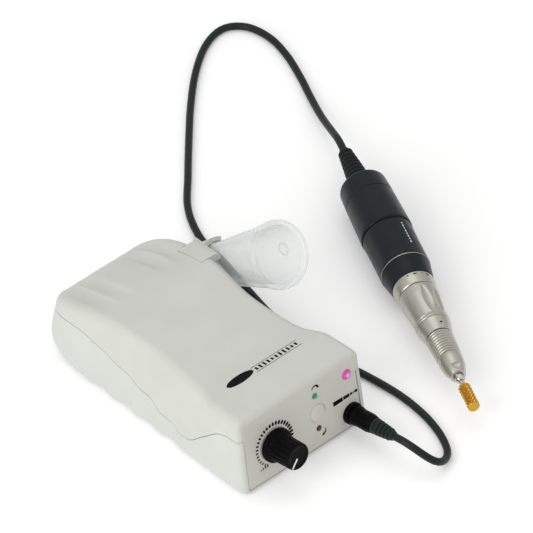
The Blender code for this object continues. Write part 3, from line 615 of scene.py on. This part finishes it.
def build_housing():
    lift = place(0, 0, FLOOR_CLEARANCE)
    cutters = [(block(NOTCH_LOW, NOTCH_HIGH), lift, "DIFFERENCE"),
               (block(*TONGUE_SLOT), lift, "DIFFERENCE")]
    piece("housing_upper", shell(True), UNIT, PAINTS["upper_shell"],
          nodes=("upper_housing",), cutters=cutters)
    cutters = [(hole(5.5, 120, 170), place(INLET_X, 0, INLET_Z)
                @ Matrix.Rotation(-math.pi / 2, 4, "X"), "DIFFERENCE")]
    for x, y in SCREW_SPOTS:
        cutters.append((revolve(soft([(0, -2), (3.6, -2), (3.4, 0), (3.2, 0.3), (3.2, 2.1),
                                      (0, 2.1)], False), False, 48),
                        place(x, y, FLOOR_CLEARANCE), "DIFFERENCE"))
    for x, y in FOOT_SPOTS:
        cutters.append((hole(5.3, -1, 2.1), place(x, y), "DIFFERENCE"))
    piece("housing_lower", shell(False), UNIT, PAINTS["lower_shell"],
          nodes=("lower_housing",), cutters=cutters)
    for index, (x, y) in enumerate(SCREW_SPOTS, 1):
        cross = [(block((-1.5, -0.3, 0), (1.5, 0.3, 1.7)), place(x, y, FLOOR_CLEARANCE),
                  "DIFFERENCE"),
                 (block((-0.3, -1.5, 0), (0.3, 1.5, 1.7)), place(x, y, FLOOR_CLEARANCE),
                  "DIFFERENCE")]
        outline = soft([(0, 15.6), (0.9, 15.4, 0.2), (1.5, 14.2), (1.5, 2.5), (2.8, 2.4),
                        (2.8, 0.9, 0.5), (0, 0.45)], False)
        piece(f"screw_{index}", revolve(outline, False, 40), place(x, y, FLOOR_CLEARANCE),
              PAINTS["bright_steel"], nodes=(f"housing_screw_{index}",),
              cutters=cross)
    for index, (x, y) in enumerate(FOOT_SPOTS, 1):
        outline = soft([(0, 1.9), (5.0, 1.9, 0.2), (5.0, 0.35, 0.5), (4.2, 0.0, 0.2),
                        (1.4, 0.0, 0.3), (1.1, 0.5, 0.2), (0, 0.5)], False)
        piece(f"foot_{index}", revolve(outline, False, 64), place(x, y), PAINTS["black_rubber"],
              nodes=(f"rubber_foot_{index}",))
    inlet = place(INLET_X, 0, INLET_Z) @ Matrix.Rotation(-math.pi / 2, 4, "X")
    outline = soft([(0, INLET_FLOOR), (4.9, INLET_FLOOR), (4.9, INLET_FACE, 0.5),
                    (3.3, INLET_FACE, 0.6), (3.3, 135.0, 0.2), (0, 135.0)], False)
    piece("inlet_barrel", revolve(outline, False, 64), inlet, PAINTS["black_plastic"],
          nodes=("charge_inlet",))
    pin = soft([(0, 134.9), (0.8, 134.9), (0.8, 144.2, 0.5), (0, 144.8)], False)
    piece("inlet_pin", revolve(pin, False, 32), inlet, PAINTS["bright_steel"])


# ---------------------------------------------------------------- front panel

def panel_outline(ease=0.0):
    """The panel's outline in its own plane; ease draws in only its lower part."""
    slope = 1 / math.cos(RAKE)
    seam = curve_value(PARTING, 0)
    low_x, low_z = FRONT_ROUND + 0.62 + ease, BASE_ROUND + 0.55 + ease
    high = FRONT_ROUND + 0.30
    lower = half_outline(0.0, low_x, low_z, False, False)
    upper = half_outline(0.0, high, high, True, False)
    right = [p for p in reversed(lower[:-1]) if p[1] < seam - 0.1]
    right += [(right[-1][0], seam)]
    right += [p for p in upper[:-1] if p[1] > seam + 0.02]
    right = [(x, z * slope) for x, z in right]
    bottom = (0.0, lower[-1][1] * slope)
    top = (0.0, upper[-1][1] * slope)
    return [bottom, *right, top, *[(-x, z) for x, z in reversed(right)]]


def build_panel():
    bm = bmesh.new()
    loops = []
    for level, ease in ((-0.02, 0.25), (-0.27, 0.0), (-2.6, 0.0)):
        loops.append([bm.verts.new((x * MM, y * MM, level * MM))
                      for x, y in panel_outline(ease)])
    count = len(loops[0])
    for one, two in zip(loops, loops[1:]):
        for i in range(count):
            j = (i + 1) % count
            bm.faces.new((one[i], one[j], two[j], two[i]))
    bm.faces.new(loops[0])
    bm.faces.new(list(reversed(loops[-1])))
    cutters = []
    for (x, y), radius in ((KNOB_AT, 3.9), (BUTTON_AT, BUTTON_R + 0.16),
                           (FORWARD_LAMP_AT, LAMP_R + 0.12), (REVERSE_LAMP_AT, LAMP_R + 0.12),
                           (POWER_LAMP_AT, POWER_LAMP_R + 0.15), (SOCKET_AT, 4.3)):
        cutters.append((hole(radius, -6, 6), place(x, y, 0, PANEL), "DIFFERENCE"))
    piece("panel_face", bm, PANEL, PAINTS["panel_grey"], nodes=("front_panel",),
          cutters=cutters)

    where = place(*BUTTON_AT, 0, PANEL)
    outline = soft([(0, 0.7), (3.0, 0.62, 3.0), (4.5, 0.45, 0.8), (BUTTON_R, 0.1, 0.4),
                    (BUTTON_R, -3.2), (1.6, -3.6), (1.6, -9.4), (0, -9.4)], False)
    piece("button_cap", revolve(outline, False), where, PAINTS["button_white"],
          body="direction_button", nodes=("direction_button",))
    for name, spot, radius in (("forward_lamp", FORWARD_LAMP_AT, LAMP_R),
                               ("reverse_lamp", REVERSE_LAMP_AT, LAMP_R),
                               ("power_lamp", POWER_LAMP_AT, POWER_LAMP_R)):
        slot = {"forward_lamp": "lamp_green", "reverse_lamp": "lamp_red",
                "power_lamp": "lamp_pink"}[name]
        dome = [(radius * math.sin(t), 0.15 * radius + 0.42 * radius * math.cos(t))
                for t in (math.pi / 2 * k / 10 for k in range(11))]
        outline = [*dome, (radius, -4.6), (radius + 0.35, -4.6), (radius + 0.35, -5.6),
                   (0, -5.6)]
        piece(f"{name}_lens", revolve(outline, False, 64), place(*spot, 0, PANEL),
              PAINTS[slot], nodes=(name,))


def build_knob():
    where = place(*KNOB_AT, 0, PANEL)
    top = KNOB_HEIGHT

    def fluted(r, h, angle):
        if r < KNOB_R * 0.8 or not 4.0 < h < top - 0.25:
            return r
        wave = abs(math.sin(angle * KNOB_FLUTES / 2))
        return r - 0.55 * (1 - wave) ** 1.5 * smooth_step(4.0, 5.2, h)

    bottom = 0.9
    outline = [(0, top - 0.15), (2.0, top - 0.15), (4.0, top - 0.15), (5.6, top - 0.15),
               (5.9, top), (6.5, top), (6.95, top - 0.12), (7.2, top - 0.4),
               (KNOB_R - 0.05, top - 0.8)]
    outline += [(KNOB_R - 0.05 + 0.12 * k / 12, top - 0.8 - (top - 5.4) * k / 12)
                for k in range(1, 13)]
    outline += [(KNOB_R + 0.1, 4.3), (KNOB_R + 0.3, 4.0), (KNOB_SKIRT_R - 0.9, 3.7),
                (KNOB_SKIRT_R - 0.35, 3.45), (KNOB_SKIRT_R, 2.9), (KNOB_SKIRT_R, 1.2),
                (KNOB_SKIRT_R - 0.2, bottom), (6.9, bottom), (6.9, 5.2), (3.3, 5.2),
                (3.3, 14.5), (0, 14.5)]
    piece("knob_cap", revolve(outline, False, KNOB_FLUTES * 10, fluted), where,
          PAINTS["black_plastic"], body="speed_knob", nodes=("speed_knob",),
          angle=40)
    across, along = 0.42, (0.9, 6.75)
    aim = Vector((math.sin(KNOB_START), math.cos(KNOB_START)))
    side = Vector((aim.y, -aim.x))
    flat = [aim * along[0] - side * across, aim * along[0] + side * across,
            aim * along[1] + side * across, aim * along[1] - side * across]
    bar = slab([tuple(p) for p in flat], top - 0.3, top + 0.06, 0.03)
    spine = [aim * 6.6 - side * across, aim * 6.6 + side * across,
             aim * 7.47 + side * across, aim * 7.47 - side * across]
    merge(bar, slab([tuple(p) for p in spine], top - 4.6, top - 0.55, 0.05))
    piece("knob_pointer", bar, where, WHITE_INK, body="speed_knob")
    shaft = soft([(0, 14.0), (3.0, 14.0, 0.3), (3.0, -9.0), (0, -9.0)], False)
    piece("knob_shaft", revolve(shaft, False, 48), where, PAINTS["shaft_alloy"],
          body="speed_knob", nodes=("potentiometer_shaft",))


def build_panel_marks():
    """Generic printing: a dot scale, two turn arrows, a tool mark, a minimum mark; and a white
    ring round the knob that is a painted highlight.
    """
    proud = 0.05
    x0, y0 = KNOB_AT
    dots = bmesh.new()
    count = 28
    for k in range(count):
        share = k / (count - 1)
        angle = KNOB_START - math.radians(2) + math.radians(276) * share
        size = 0.5 + 0.42 * min(1.0, share * 1.5)
        radius = 11.5 + 0.25 * share
        x, y = x0 + radius * math.sin(angle), y0 + radius * math.cos(angle)
        merge(dots, slab(oval(x, y, size * 0.82, size * 1.42, -angle), -0.03, proud))
    piece("scale_dots", dots, PANEL, INK)
    # painted highlight: a thin white ring round the knob skirt
    ring = revolve([(9.95, -0.03), (10.3, -0.03), (10.3, proud), (9.95, proud)], True, 96)
    piece("knob_highlight_ring", ring, place(*KNOB_AT, 0, PANEL), WHITE_INK)

    arrows = bmesh.new()
    for cx, cy, start, sweep in ((10.6, 36.2, 160, -130), (12.2, 9.6, 20, -95)):
        r, half = 2.1, 0.40
        steps = 14
        outer, inner = [], []
        for k in range(steps + 1):
            angle = math.radians(start + sweep * k / steps)
            thick = half * (0.55 + 0.9 * k / steps)
            outer.append((cx + (r + thick) * math.cos(angle), cy + (r + thick) * math.sin(angle)))
            inner.append((cx + (r - thick) * math.cos(angle), cy + (r - thick) * math.sin(angle)))
        merge(arrows, slab(outer + inner[::-1], -0.03, proud))
        angle = math.radians(start + sweep)
        turn = math.copysign(1, sweep)
        tip = Vector((cx + r * math.cos(angle), cy + r * math.sin(angle)))
        ahead = Vector((-math.sin(angle), math.cos(angle))) * turn
        out = Vector((math.cos(angle), math.sin(angle)))
        head = [tip + out * 0.95, tip - out * 0.95, tip + ahead * 1.35]
        merge(arrows, slab([tuple(p) for p in head], -0.03, proud))
    piece("turn_arrows", arrows, PANEL, INK)

    tool = bmesh.new()
    cx, cy = 29.0, 20.6
    for low, high, half in ((-8.0, -1.6, 1.3), (-1.2, 3.0, 1.0), (3.4, 5.0, 0.7),
                            (5.3, 6.6, 0.32), (6.6, 8.4, 0.8)):
        merge(tool, slab([(cx + low, cy - half), (cx + high, cy - half * 0.9),
                          (cx + high, cy + half * 0.9), (cx + low, cy + half)], -0.03, proud))
    piece("tool_mark", tool, PANEL, INK)
    least = bmesh.new()
    for k, tall in enumerate((0.7, 1.1, 1.5, 1.9)):
        x = -30.0 + 1.5 * k
        merge(least, slab([(x, 9.0), (x + 0.8, 9.0), (x + 0.8, 9.0 + tall), (x, 9.0 + tall)],
                          -0.03, proud))
    piece("least_mark", least, PANEL, INK)


def build_top_mark():
    """A plain generic mark along the front edge of the top: an oval, bars and two rules."""
    bm = bmesh.new()
    sunk, proud = -0.15, 0.06
    x0, y0 = -15.5, 32.0
    merge(bm, slab(oval(x0, y0, 9.0, 3.1, 0.05, 48), sunk, proud))
    for k in range(11):
        x = x0 + 10.6 + 2.65 * k
        tall = 0.9 + 0.6 * abs(math.sin(0.62 * k + 0.5))
        merge(bm, slab([(x, y0 - tall), (x + 1.25, y0 - tall), (x + 1.25, y0 + tall),
                        (x, y0 + tall)], sunk, proud))
    for rule in (-2.45, 2.2):
        merge(bm, slab([(x0 + 9.2, y0 + rule), (x0 + 40.0, y0 + rule),
                        (x0 + 40.0, y0 + rule + 0.25), (x0 + 9.2, y0 + rule + 0.25)],
                       sunk, proud))
    lean = math.tan(RAKE)
    for vert in bm.verts:
        y, z = vert.co.y / MM, vert.co.z / MM
        at = (y - lean * 42.4) / (1 - lean * 42.4 / 40.0) if y < 40 else y
        vert.co.z = (curve_value(TOP_HEIGHT, at) + z + FLOOR_CLEARANCE) * MM
    piece("top_mark", bm, UNIT, INK)


def build_socket_and_plug():
    where = place(*SOCKET_AT, 0, PANEL)
    nut = soft([(5.9, -0.1), (5.9, 2.2, 0.7), (4.3, 2.6, 0.2), (4.3, -0.1)])
    piece("socket_ring", revolve(nut), where, PAINTS["black_plastic"],
          nodes=("socket_nut",))
    body = soft([(0, 3.0), (5.1, 3.0, 0.3), (5.25, 5.4, 0.2), (4.85, 5.9, 0.2),
                 (5.0, 13.4, 0.5), (4.6, 15.6, 0.6), (4.3, 17.0, 0.5), (0, 17.0)], False)
    plug = piece("plug_shell", revolve(body, False), where, PAINTS["black_plastic"],
                 nodes=("plug_body",))
    low = 17.1
    outline = [(0, low), (4.2, low, 0.4), (4.2, low + 1.6, 0.6), (3.6, low + 2.0, 0.3)]
    for rib in range(4):
        at, r = low + 2.6 + rib * 2.5, 4.05 - 0.24 * rib
        outline += [(r - 0.8, at - 0.3, 0.2), (r, at, 0.5), (r, at + 1.5, 0.5),
                    (r - 0.85, at + 1.8, 0.2)]
    outline += [(2.7, PLUG_END - 1.2, 0.3), (2.45, PLUG_END, 0.5), (0, PLUG_END)]
    boot = piece("plug_relief", revolve(soft(outline, False), False, 72), where,
                 PAINTS["lead_jacket"], nodes=("plug_boot",))
    pin = soft([(0, 2.7), (1.7, 2.7), (1.7, -4.0, 0.1), (1.5, -4.3), (1.5, -4.7), (1.7, -5.0),
                (1.7, -9.6, 0.3), (1.1, -11.0, 0.4), (0, -11.0)], False)
    tip = piece("plug_contact", revolve(pin, False, 40), where, PAINTS["bright_steel"],
                nodes=("plug_pin",))
    return [plug, boot, tip]


# ---------------------------------------------------------------- lead

def smooth_path(points, step):
    """Evenly spaced points on a Catmull-Rom curve through the route."""
    ends = [points[0] * 2 - points[1], *points, points[-1] * 2 - points[-2]]
    fine = []
    for p0, p1, p2, p3 in zip(ends, ends[1:], ends[2:], ends[3:]):
        for i in range(24):
            t = i / 24
            fine.append(0.5 * (2 * p1 + (p2 - p0) * t + (2 * p0 - 5 * p1 + 4 * p2 - p3) * t * t
                               + (3 * p1 - p0 - 3 * p2 + p3) * t**3))
    fine.append(points[-1])
    length = sum((b - a).length for a, b in zip(fine, fine[1:]))
    count = round(length / step)
    spaced, walked, target = [fine[0]], 0.0, length / count
    for a, b in zip(fine, fine[1:]):
        leg = (b - a).length
        while walked + leg >= target * len(spaced) and len(spaced) < count:
            spaced.append(a.lerp(b, (target * len(spaced) - walked) / leg))
        walked += leg
    return [*spaced, fine[-1]]


def build_cord():
    socket = place(*SOCKET_AT, 0, PANEL)
    route = [HAND @ Vector((0, 0, -(BOOT_LENGTH + extra) * MM)) for extra in (-1.0, 9.0)]
    route += [UNIT @ (Vector(p) * MM) for p in CORD_ROUTE]
    route += [socket @ Vector((0, 0, (PLUG_END + extra) * MM)) for extra in (9.0, -1.0)]
    path = smooth_path(route, 3.0 * MM)
    line = bpy.data.curves.new("lead", "CURVE")
    line.dimensions = "3D"
    spline = line.splines.new("POLY")
    spline.points.add(len(path) - 1)
    for point, at in zip(spline.points, path):
        point.co = (*at, 1.0)
    spline.use_smooth = True
    line.bevel_depth = CORD_R * MM
    line.bevel_resolution = 6
    line.use_fill_caps = True
    line.materials.append(PAINTS["lead_jacket"])
    lead = bpy.data.objects.new("lead", line)
    bpy.context.scene.collection.objects.link(lead)
    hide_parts("handpiece_cord")
    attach(lead, "root")


# ---------------------------------------------------------------- cradle

def build_cradle():
    def wall(at):
        return CUP_FLOOR_R + (CUP_MOUTH_R - CUP_FLOOR_R) * at / CUP_LENGTH

    top = CUP_LENGTH
    outline = soft([(0, 0), (CUP_FLOOR_R - 0.4, 0, 2.2), (wall(30), 30),
                    (wall(top - 6), top - 6, 2),
                    (wall(top) + 0.1, top - 3.4, 1.5), (wall(top) + 0.1, top, 1.1),
                    (wall(top) - 2.6, top, 1.1), (wall(top - 4) - 2.3, top - 4.4, 2),
                    (wall(30) - CUP_WALL, 30), (wall(4) - CUP_WALL, CUP_WALL, 1.4),
                    (0, CUP_WALL)], False, 6)
    cup = revolve(outline, False, 112)
    boss = revolve(soft([(3.6, 0), (3.6, 1.0, 0.3), (2.7, 1.0, 0.3), (2.7, 0)]), True, 40)
    angle, at = math.radians(-12), top - 15
    spot = (Matrix.Translation(Vector(((wall(at) - CUP_WALL + 0.25) * math.cos(angle),
                                       (wall(at) - CUP_WALL + 0.25) * math.sin(angle), at)) * MM)
            @ Matrix.Rotation(angle, 4, "Z") @ Matrix.Rotation(-math.pi / 2, 4, "Y"))
    bmesh.ops.transform(boss, matrix=spot, verts=boss.verts)
    piece("cup_shell", cup, CUP, PAINTS["clear_cup"], body="cradle",
          nodes=("cradle_cup",))
    piece("cup_boss", boss, CUP, PAINTS["clear_cup"], body="cradle")

    left, front, level = (value + GAP for value in NOTCH_LOW)
    rear = NOTCH_HIGH[1] - GAP
    bm = bmesh.new()
    loops = []
    steps = 18
    for k in range(steps + 1):
        y = front + (rear - front) * k / steps
        roof = measures(y, 0, 0, 0)[2]
        drop = min(5.0, roof - level - 0.4)
        ring = [(left, level), (left, roof - 0.25), (left + 0.25, roof)]
        ring += [(left + 0.25 + (36.0 - left) * j / 4, roof) for j in range(1, 4)]
        ring += [(36.0 + 6.3 * math.sin(t), roof - drop * (1 - math.cos(t)))
                 for t in (math.pi / 2 * j / 12 for j in range(1, 13))]
        ring += [(42.3, level)]
        loops.append([bm.verts.new((x * MM, y * MM, (z + FLOOR_CLEARANCE) * MM))
                      for x, z in ring])
    count = len(loops[0])
    for one, two in zip(loops, loops[1:]):
        for i in range(count):
            j = (i + 1) % count
            bm.faces.new((one[i], one[j], two[j], two[i]))
    bm.faces.new(loops[0])
    bm.faces.new(list(reversed(loops[-1])))
    lift = place(0, 0, FLOOR_CLEARANCE)
    cone = revolve([(0, -30), (wall(-30) + 0.58, -30), (wall(top) + 0.58, top), (0, top)],
                   False, 96)
    saddle = bmesh.new()
    arcs = []
    for k in range(31):
        angle = math.radians(SADDLE_START + SADDLE_SWEEP * k / 30)
        corners = [(wall(h) + off, h) for h, off in ((SADDLE_HIGH, 0.6), (SADDLE_HIGH, 2.8),
                                                     (SADDLE_LOW, 2.8), (SADDLE_LOW, 0.6))]
        arcs.append([saddle.verts.new((r * MM * math.cos(angle), r * MM * math.sin(angle),
                                       h * MM)) for r, h in corners])
    for one, two in zip(arcs, arcs[1:]):
        for i in range(4):
            j = (i + 1) % 4
            saddle.faces.new((one[i], one[j], two[j], two[i]))
    saddle.faces.new(list(reversed(arcs[0])))
    saddle.faces.new(arcs[-1])
    piece("cradle_arm", bm, UNIT, PAINTS["upper_shell"], body="cradle",
          nodes=("cradle_bracket",),
          cutters=[(block(*TONGUE), lift, "UNION"), (block(*WEB), lift, "UNION"),
                   (saddle, CUP, "UNION"), (cone, CUP, "DIFFERENCE")])


# ---------------------------------------------------------------- handpiece

def build_handpiece():
    black, nickel = PAINTS["barrel_black"], PAINTS["satin_nickel"]

    outline = [(0, -GAP), (8.5, -GAP, 0.5), (8.5, -2.3, 0.8), (6.6, -3.0, 0.5)]
    for rib in range(8):
        high, r = -3.4 - rib * 3.05, 6.15 - 0.31 * rib
        outline += [(r - 1.1, high + 0.25, 0.25), (r, high - 0.1, 0.7), (r, high - 2.1, 0.7),
                    (r - 1.2, high - 2.45, 0.25)]
    outline += [(2.9, -28.2, 0.3), (2.6, -BOOT_LENGTH, 0.5), (0, -BOOT_LENGTH)]
    piece("boot_relief", revolve(soft(outline, False), False, 84), HAND, PAINTS["black_rubber"],
          nodes=("handpiece_boot",))

    cap = soft([(9.0, 0.0, 1.2), (12.6, 1.0, 3.6), (13.2, 13.7, 0.15), (13.0, 14.0),
                (11.4, 14.0), (11.4, 3.4), (4.0, 2.4), (4.0, 0.0)], True, 8)
    piece("cap_rear", revolve(cap, True, 128), HAND, black, nodes=("rear_cap",))
    sleeve = soft([(11.7, 14.1), (13.0, 14.1), (13.2, 14.35, 0.1), (13.95, 38.4, 2.0),
                   (13.9, 40.3, 0.7), (13.2, 40.9, 0.3), (11.7, 40.9)])
    piece("sleeve_motor", revolve(sleeve, True, 128), HAND, black,
          nodes=("motor_sleeve",))

    def facets(r, h, angle):
        if r < 12.8 and h < 69:
            return r
        depth = 0.22 * smooth_step(42, 46, h) * (1 - smooth_step(64, 69, h))
        return r - depth * (1 - abs(math.cos(4 * angle))) ** 0.8

    front = [(11.7, 41.3), (13.0, 41.3), (13.25, 41.5), (13.55, 42.0), (13.62, 42.8)]
    front += [(13.62 - 0.1 * k / 12, 43.4 + 25.4 * k / 12) for k in range(13)]
    front += [(13.5, 69.2), (13.38, 69.75), (13.2, 70.1), (13.05, 70.7)]
    front += [(13.05 - 1.7 * (k / 8) ** 1.05, 70.7 + 10.5 * k / 8) for k in range(1, 9)]
    front += [(11.2, 81.5), (11.0, 81.65), (9.4, 81.65), (9.4, 80.6), (11.7, 68.6)]
    piece("sleeve_front", revolve(front, True, 144, facets), HAND, black,
          nodes=("front_sleeve",))
    bright = soft([(13.3, 69.55), (13.42, 69.62, 0.02), (13.36, 69.9, 0.02), (13.2, 69.95)])
    piece("sleeve_line", revolve(bright, True, 144), HAND, nickel)

    index = soft([(11.0, 81.9), (11.25, 82.1, 0.1), (11.1, 84.2, 0.3), (10.5, 88.4, 0.3),
                  (10.2, 88.9, 0.1), (6.7, 88.9), (6.7, 81.9)])
    piece("ring_index", revolve(index, True, 128), HAND, nickel,
          nodes=("index_ring",))
    marks = bmesh.new()
    reds = bmesh.new()
    for k, (angle, long) in enumerate(((-38, 1.1), (-20, 0.45), (0, 1.1), (20, 0.45), (110, 1.1),
                                       (200, 1.1))):
        turn = math.radians(180 + angle)
        dab = slab(oval(0, 0, long, 0.34), 0.0, 0.1)
        spot = (Matrix.Rotation(turn, 4, "Z")
                @ Matrix.Translation(Vector((11.14, 0, 83.4)) * MM)
                @ Matrix.Rotation(math.pi / 2, 4, "Y") @ Matrix.Rotation(math.pi / 2, 4, "Z"))
        bmesh.ops.transform(dab, matrix=spot, verts=dab.verts)
        merge(reds if k == 1 else marks, dab)
    piece("index_marks", marks, HAND, INK)
    piece("index_dot", reds, HAND, RED_INK)
    dashes = bmesh.new()
    for k in range(8):
        dash = slab(oval(0, 0, 0.3, 0.55 + 0.3 * (k % 2)), 0.0, 0.16)
        spot = (Matrix.Rotation(math.radians(155), 4, "Z")
                @ Matrix.Translation(Vector((13.42, 0, 46.0 + 2.1 * k)) * MM)
                @ Matrix.Rotation(math.pi / 2, 4, "Y") @ Matrix.Rotation(math.pi / 2, 4, "Z"))
        bmesh.ops.transform(dash, matrix=spot, verts=dash.verts)
        merge(dashes, dash)
    piece("sleeve_dashes", dashes, HAND, WHITE_INK)

    # two groups of three scoops on opposite sides of the twist sleeve
    flute_angles = (174, 139, 104, -6, -41, -76)

    def flutes(r, h, angle):
        if r < 8.6:
            return r
        apart = min(abs((angle - math.radians(spot) + math.pi) % math.tau - math.pi)
                    for spot in flute_angles)
        across = apart * r
        centre, half_length = 100.6, 9.4
        share = 1 - ((h - centre) / half_length) ** 2
        if share <= 0:
            return r
        half = 2.5 * share ** 0.8
        if across >= half:
            return r
        return r - 0.85 * share ** 0.6 * (1 - (across / half) ** 2)

    twist = [(7.9, 89.15), (9.9, 89.15), (10.2, 89.3), (10.4, 89.7)]
    twist += [(10.42 - 0.02 * k - 0.55 * (max(0, k - 8) / 32) ** 1.2 * 2, 90.0 + 0.55 * k)
              for k in range(38)]
    twist += [(9.25, 110.9), (9.0, 111.05), (8.85, 111.3), (9.05, 111.6), (9.12, 112.0),
              (9.05, 113.0), (8.85, 113.25), (7.9, 113.25)]
    piece("sleeve_twist", revolve(twist, True, 216, flutes), HAND, nickel,
          body="twist_sleeve", nodes=("twist_sleeve",), angle=28)

    neck = soft([(8.8, 113.5, 0.1), (9.05, 113.75, 0.2), (8.5, 116.5, 4.0), (7.5, 120.4, 1.5),
                 (7.2, 121.75, 0.2), (5.6, 121.75), (6.7, 113.5)])
    piece("sleeve_neck", revolve(neck, True, 112), HAND, nickel,
          nodes=("neck_sleeve",))
    dot = slab(oval(0, 0, 0.7, 0.5), 0.0, 0.25)
    spot = (Matrix.Rotation(math.radians(165), 4, "Z")
            @ Matrix.Translation(Vector((8.05, 0, 118.0)) * MM)
            @ Matrix.Rotation(math.radians(106), 4, "Y") @ Matrix.Rotation(math.pi / 2, 4, "Z"))
    bmesh.ops.transform(dot, matrix=spot, verts=dot.verts)
    piece("neck_dot", dot, HAND, INK)

    grip = [(5.0, 137.9), (5.0, 121.95)]
    for rib in range(9):
        low, r = 122.0 + rib * 1.762, 7.25 - 0.085 * rib
        grip += [(r - 1.0 + 1.0 * math.sin(math.pi * k / 8) ** 0.7, low + 0.06 + 1.6 * k / 8)
                 for k in range(9)]
    piece("grip_beads", revolve(grip, True, 96), HAND, nickel,
          nodes=("ribbed_grip",), angle=50)

    def crescents(r, h, angle):
        local = (angle * 3 / math.tau) % 1.0 - 0.5
        across = local * math.tau / 3 * r
        inside = 1 - (across / 2.4) ** 2 - ((h - 146.4) / 3.4) ** 2
        if r < 3.7 or h < 146.4 or inside <= 0:
            return r
        return r - 0.9 * inside ** 0.5

    nose = [(3.5, 138.1), (6.2, 138.1), (6.45, 138.3), (6.5, 138.7), (6.5, 139.6)]
    nose += [(6.5 - 2.35 * (k / 30) ** 1.9, 139.6 + 11.1 * k / 30) for k in range(1, 31)]
    nose += [(3.95, 151.15), (3.7, 151.3), (2.75, 151.3), (2.75, 149.0), (3.5, 148.6)]
    piece("cap_nose", revolve(nose, True, 144, crescents), HAND, nickel,
          nodes=("nose_cap",), angle=26)

    jaws = soft([(1.25, 155.1, 0.1), (2.05, 155.2, 0.25), (2.5, 154.2, 0.3), (2.5, 139.9),
                 (1.3, 139.9)])
    slots = []
    for k in range(3):
        where = HAND @ Matrix.Rotation(math.tau * k / 3, 4, "Z")
        slots.append((block((0.4, -0.16, 150.0), (4.0, 0.16, 156.0)), where, "DIFFERENCE"))
    piece("collet_jaws", revolve(jaws, True, 60), HAND, PAINTS["bright_steel"],
          body="spindle", nodes=("collet",), cutters=slots)

    shank = soft([(0, 141.0), (1.175, 141.0, 0.2), (1.175, 158.6), (0, 158.6)], False)
    piece("bit_shank", revolve(shank, False, 40), HAND, PAINTS["bright_steel"],
          body="spindle", nodes=("burr_shank",))

    def teeth(r, h, angle):
        if r < 3.0 or not 160.0 < h < BURR_TIP - 0.35:
            return r
        a = (angle / math.tau * 12 + (h - 160) / 2.2) % 1.0
        b = (angle / math.tau * 12 - (h - 160) / 2.2) % 1.0
        edge = smooth_step(160.0, 160.6, h) * (1 - smooth_step(BURR_TIP - 0.9, BURR_TIP - 0.4, h))
        ridge = min(1 - abs(2 * a - 1), 1 - abs(2 * b - 1))
        return r - 0.55 * edge * (1 - min(1.0, ridge * 2.0))

    burr = [(0, 158.45), (1.9, 158.45), (2.35, 158.7), (2.4, 159.3), (2.4, 159.6), (2.9, 159.8)]
    burr += [(3.17, 160.0 + (BURR_TIP - 160.5) * k / 84) for k in range(85)]
    burr += [(3.0, BURR_TIP - 0.2), (2.6, BURR_TIP - 0.03), (2.2, BURR_TIP), (0, BURR_TIP)]
    piece("bit_head", revolve(burr, False, 168, teeth), HAND, PAINTS["gold_burr"],
          body="spindle", nodes=("burr_head",), angle=25)


# ---------------------------------------------------------------- the rest of the scene

def finish_cad_nodes():
    """Every CAD node that stays gets the procedural finish of its material slot."""
    for row in frame["record"]["subparts"]:
        node = frame["nodes"].get(row["node"])
        if node is None:
            continue
        node.data.materials.clear()
        node.data.materials.append(PAINTS[row["material_slot"]])


def build_stage():
    bm = bmesh.new()
    bmesh.ops.create_circle(bm, cap_ends=True, segments=96, radius=5.0)
    mesh = bpy.data.meshes.new("floor")
    bm.to_mesh(mesh)
    bm.free()
    floor_paint = (Paint("pale_floor", (0.93, 0.93, 0.925), 0.6, Emission_Strength=0.14)
                   .vary(3, 0.01).bump(300, 0.01).made)
    mesh.materials.append(floor_paint)
    floor = bpy.data.objects.new("floor", mesh)
    bpy.context.scene.collection.objects.link(floor)

    world = bpy.data.worlds.new("studio")
    bpy.context.scene.world = world
    world.use_nodes = True
    tree = world.node_tree
    back = tree.nodes["Background"]
    coord = tree.nodes.new("ShaderNodeTexCoord")
    split = tree.nodes.new("ShaderNodeSeparateXYZ")
    ramp = tree.nodes.new("ShaderNodeValToRGB")
    ramp.color_ramp.elements[0].position = 0.0
    ramp.color_ramp.elements[0].color = (0.62, 0.62, 0.62, 1)
    ramp.color_ramp.elements[1].position = 0.75
    ramp.color_ramp.elements[1].color = (1.0, 1.0, 1.0, 1)
    tree.links.new(coord.outputs["Generated"], split.inputs[0])
    tree.links.new(split.outputs["Z"], ramp.inputs["Fac"])
    tree.links.new(ramp.outputs["Color"], back.inputs["Color"])
    back.inputs["Strength"].default_value = 0.8

    centre = place(60, 90, 20) @ Vector()
    for name, toward, distance, size, energy in (
            ("key", (-0.9, -0.15, 0.55), 1.1, 0.7, 5.0),
            ("top", (0.1, 0.35, 1.0), 1.3, 0.9, 1.5),
            ("fill", (0.5, -1.0, 0.4), 1.2, 0.8, 0.4)):
        light = bpy.data.lights.new(name, "AREA")
        light.shape = "SQUARE"
        light.size = size
        light.energy = energy
        aim = Vector(toward).normalized()
        lamp_object = bpy.data.objects.new(name, light)
        lamp_object.location = centre + aim * distance
        lamp_object.rotation_mode = "QUATERNION"
        lamp_object.rotation_quaternion = aim.to_track_quat("Z", "Y")
        bpy.context.scene.collection.objects.link(lamp_object)


plug_pieces = build_socket_and_plug()
build_cord()
build_housing()
build_panel()
build_knob()
build_panel_marks()
build_top_mark()
build_cradle()
build_handpiece()
finish_cad_nodes()
build_stage()
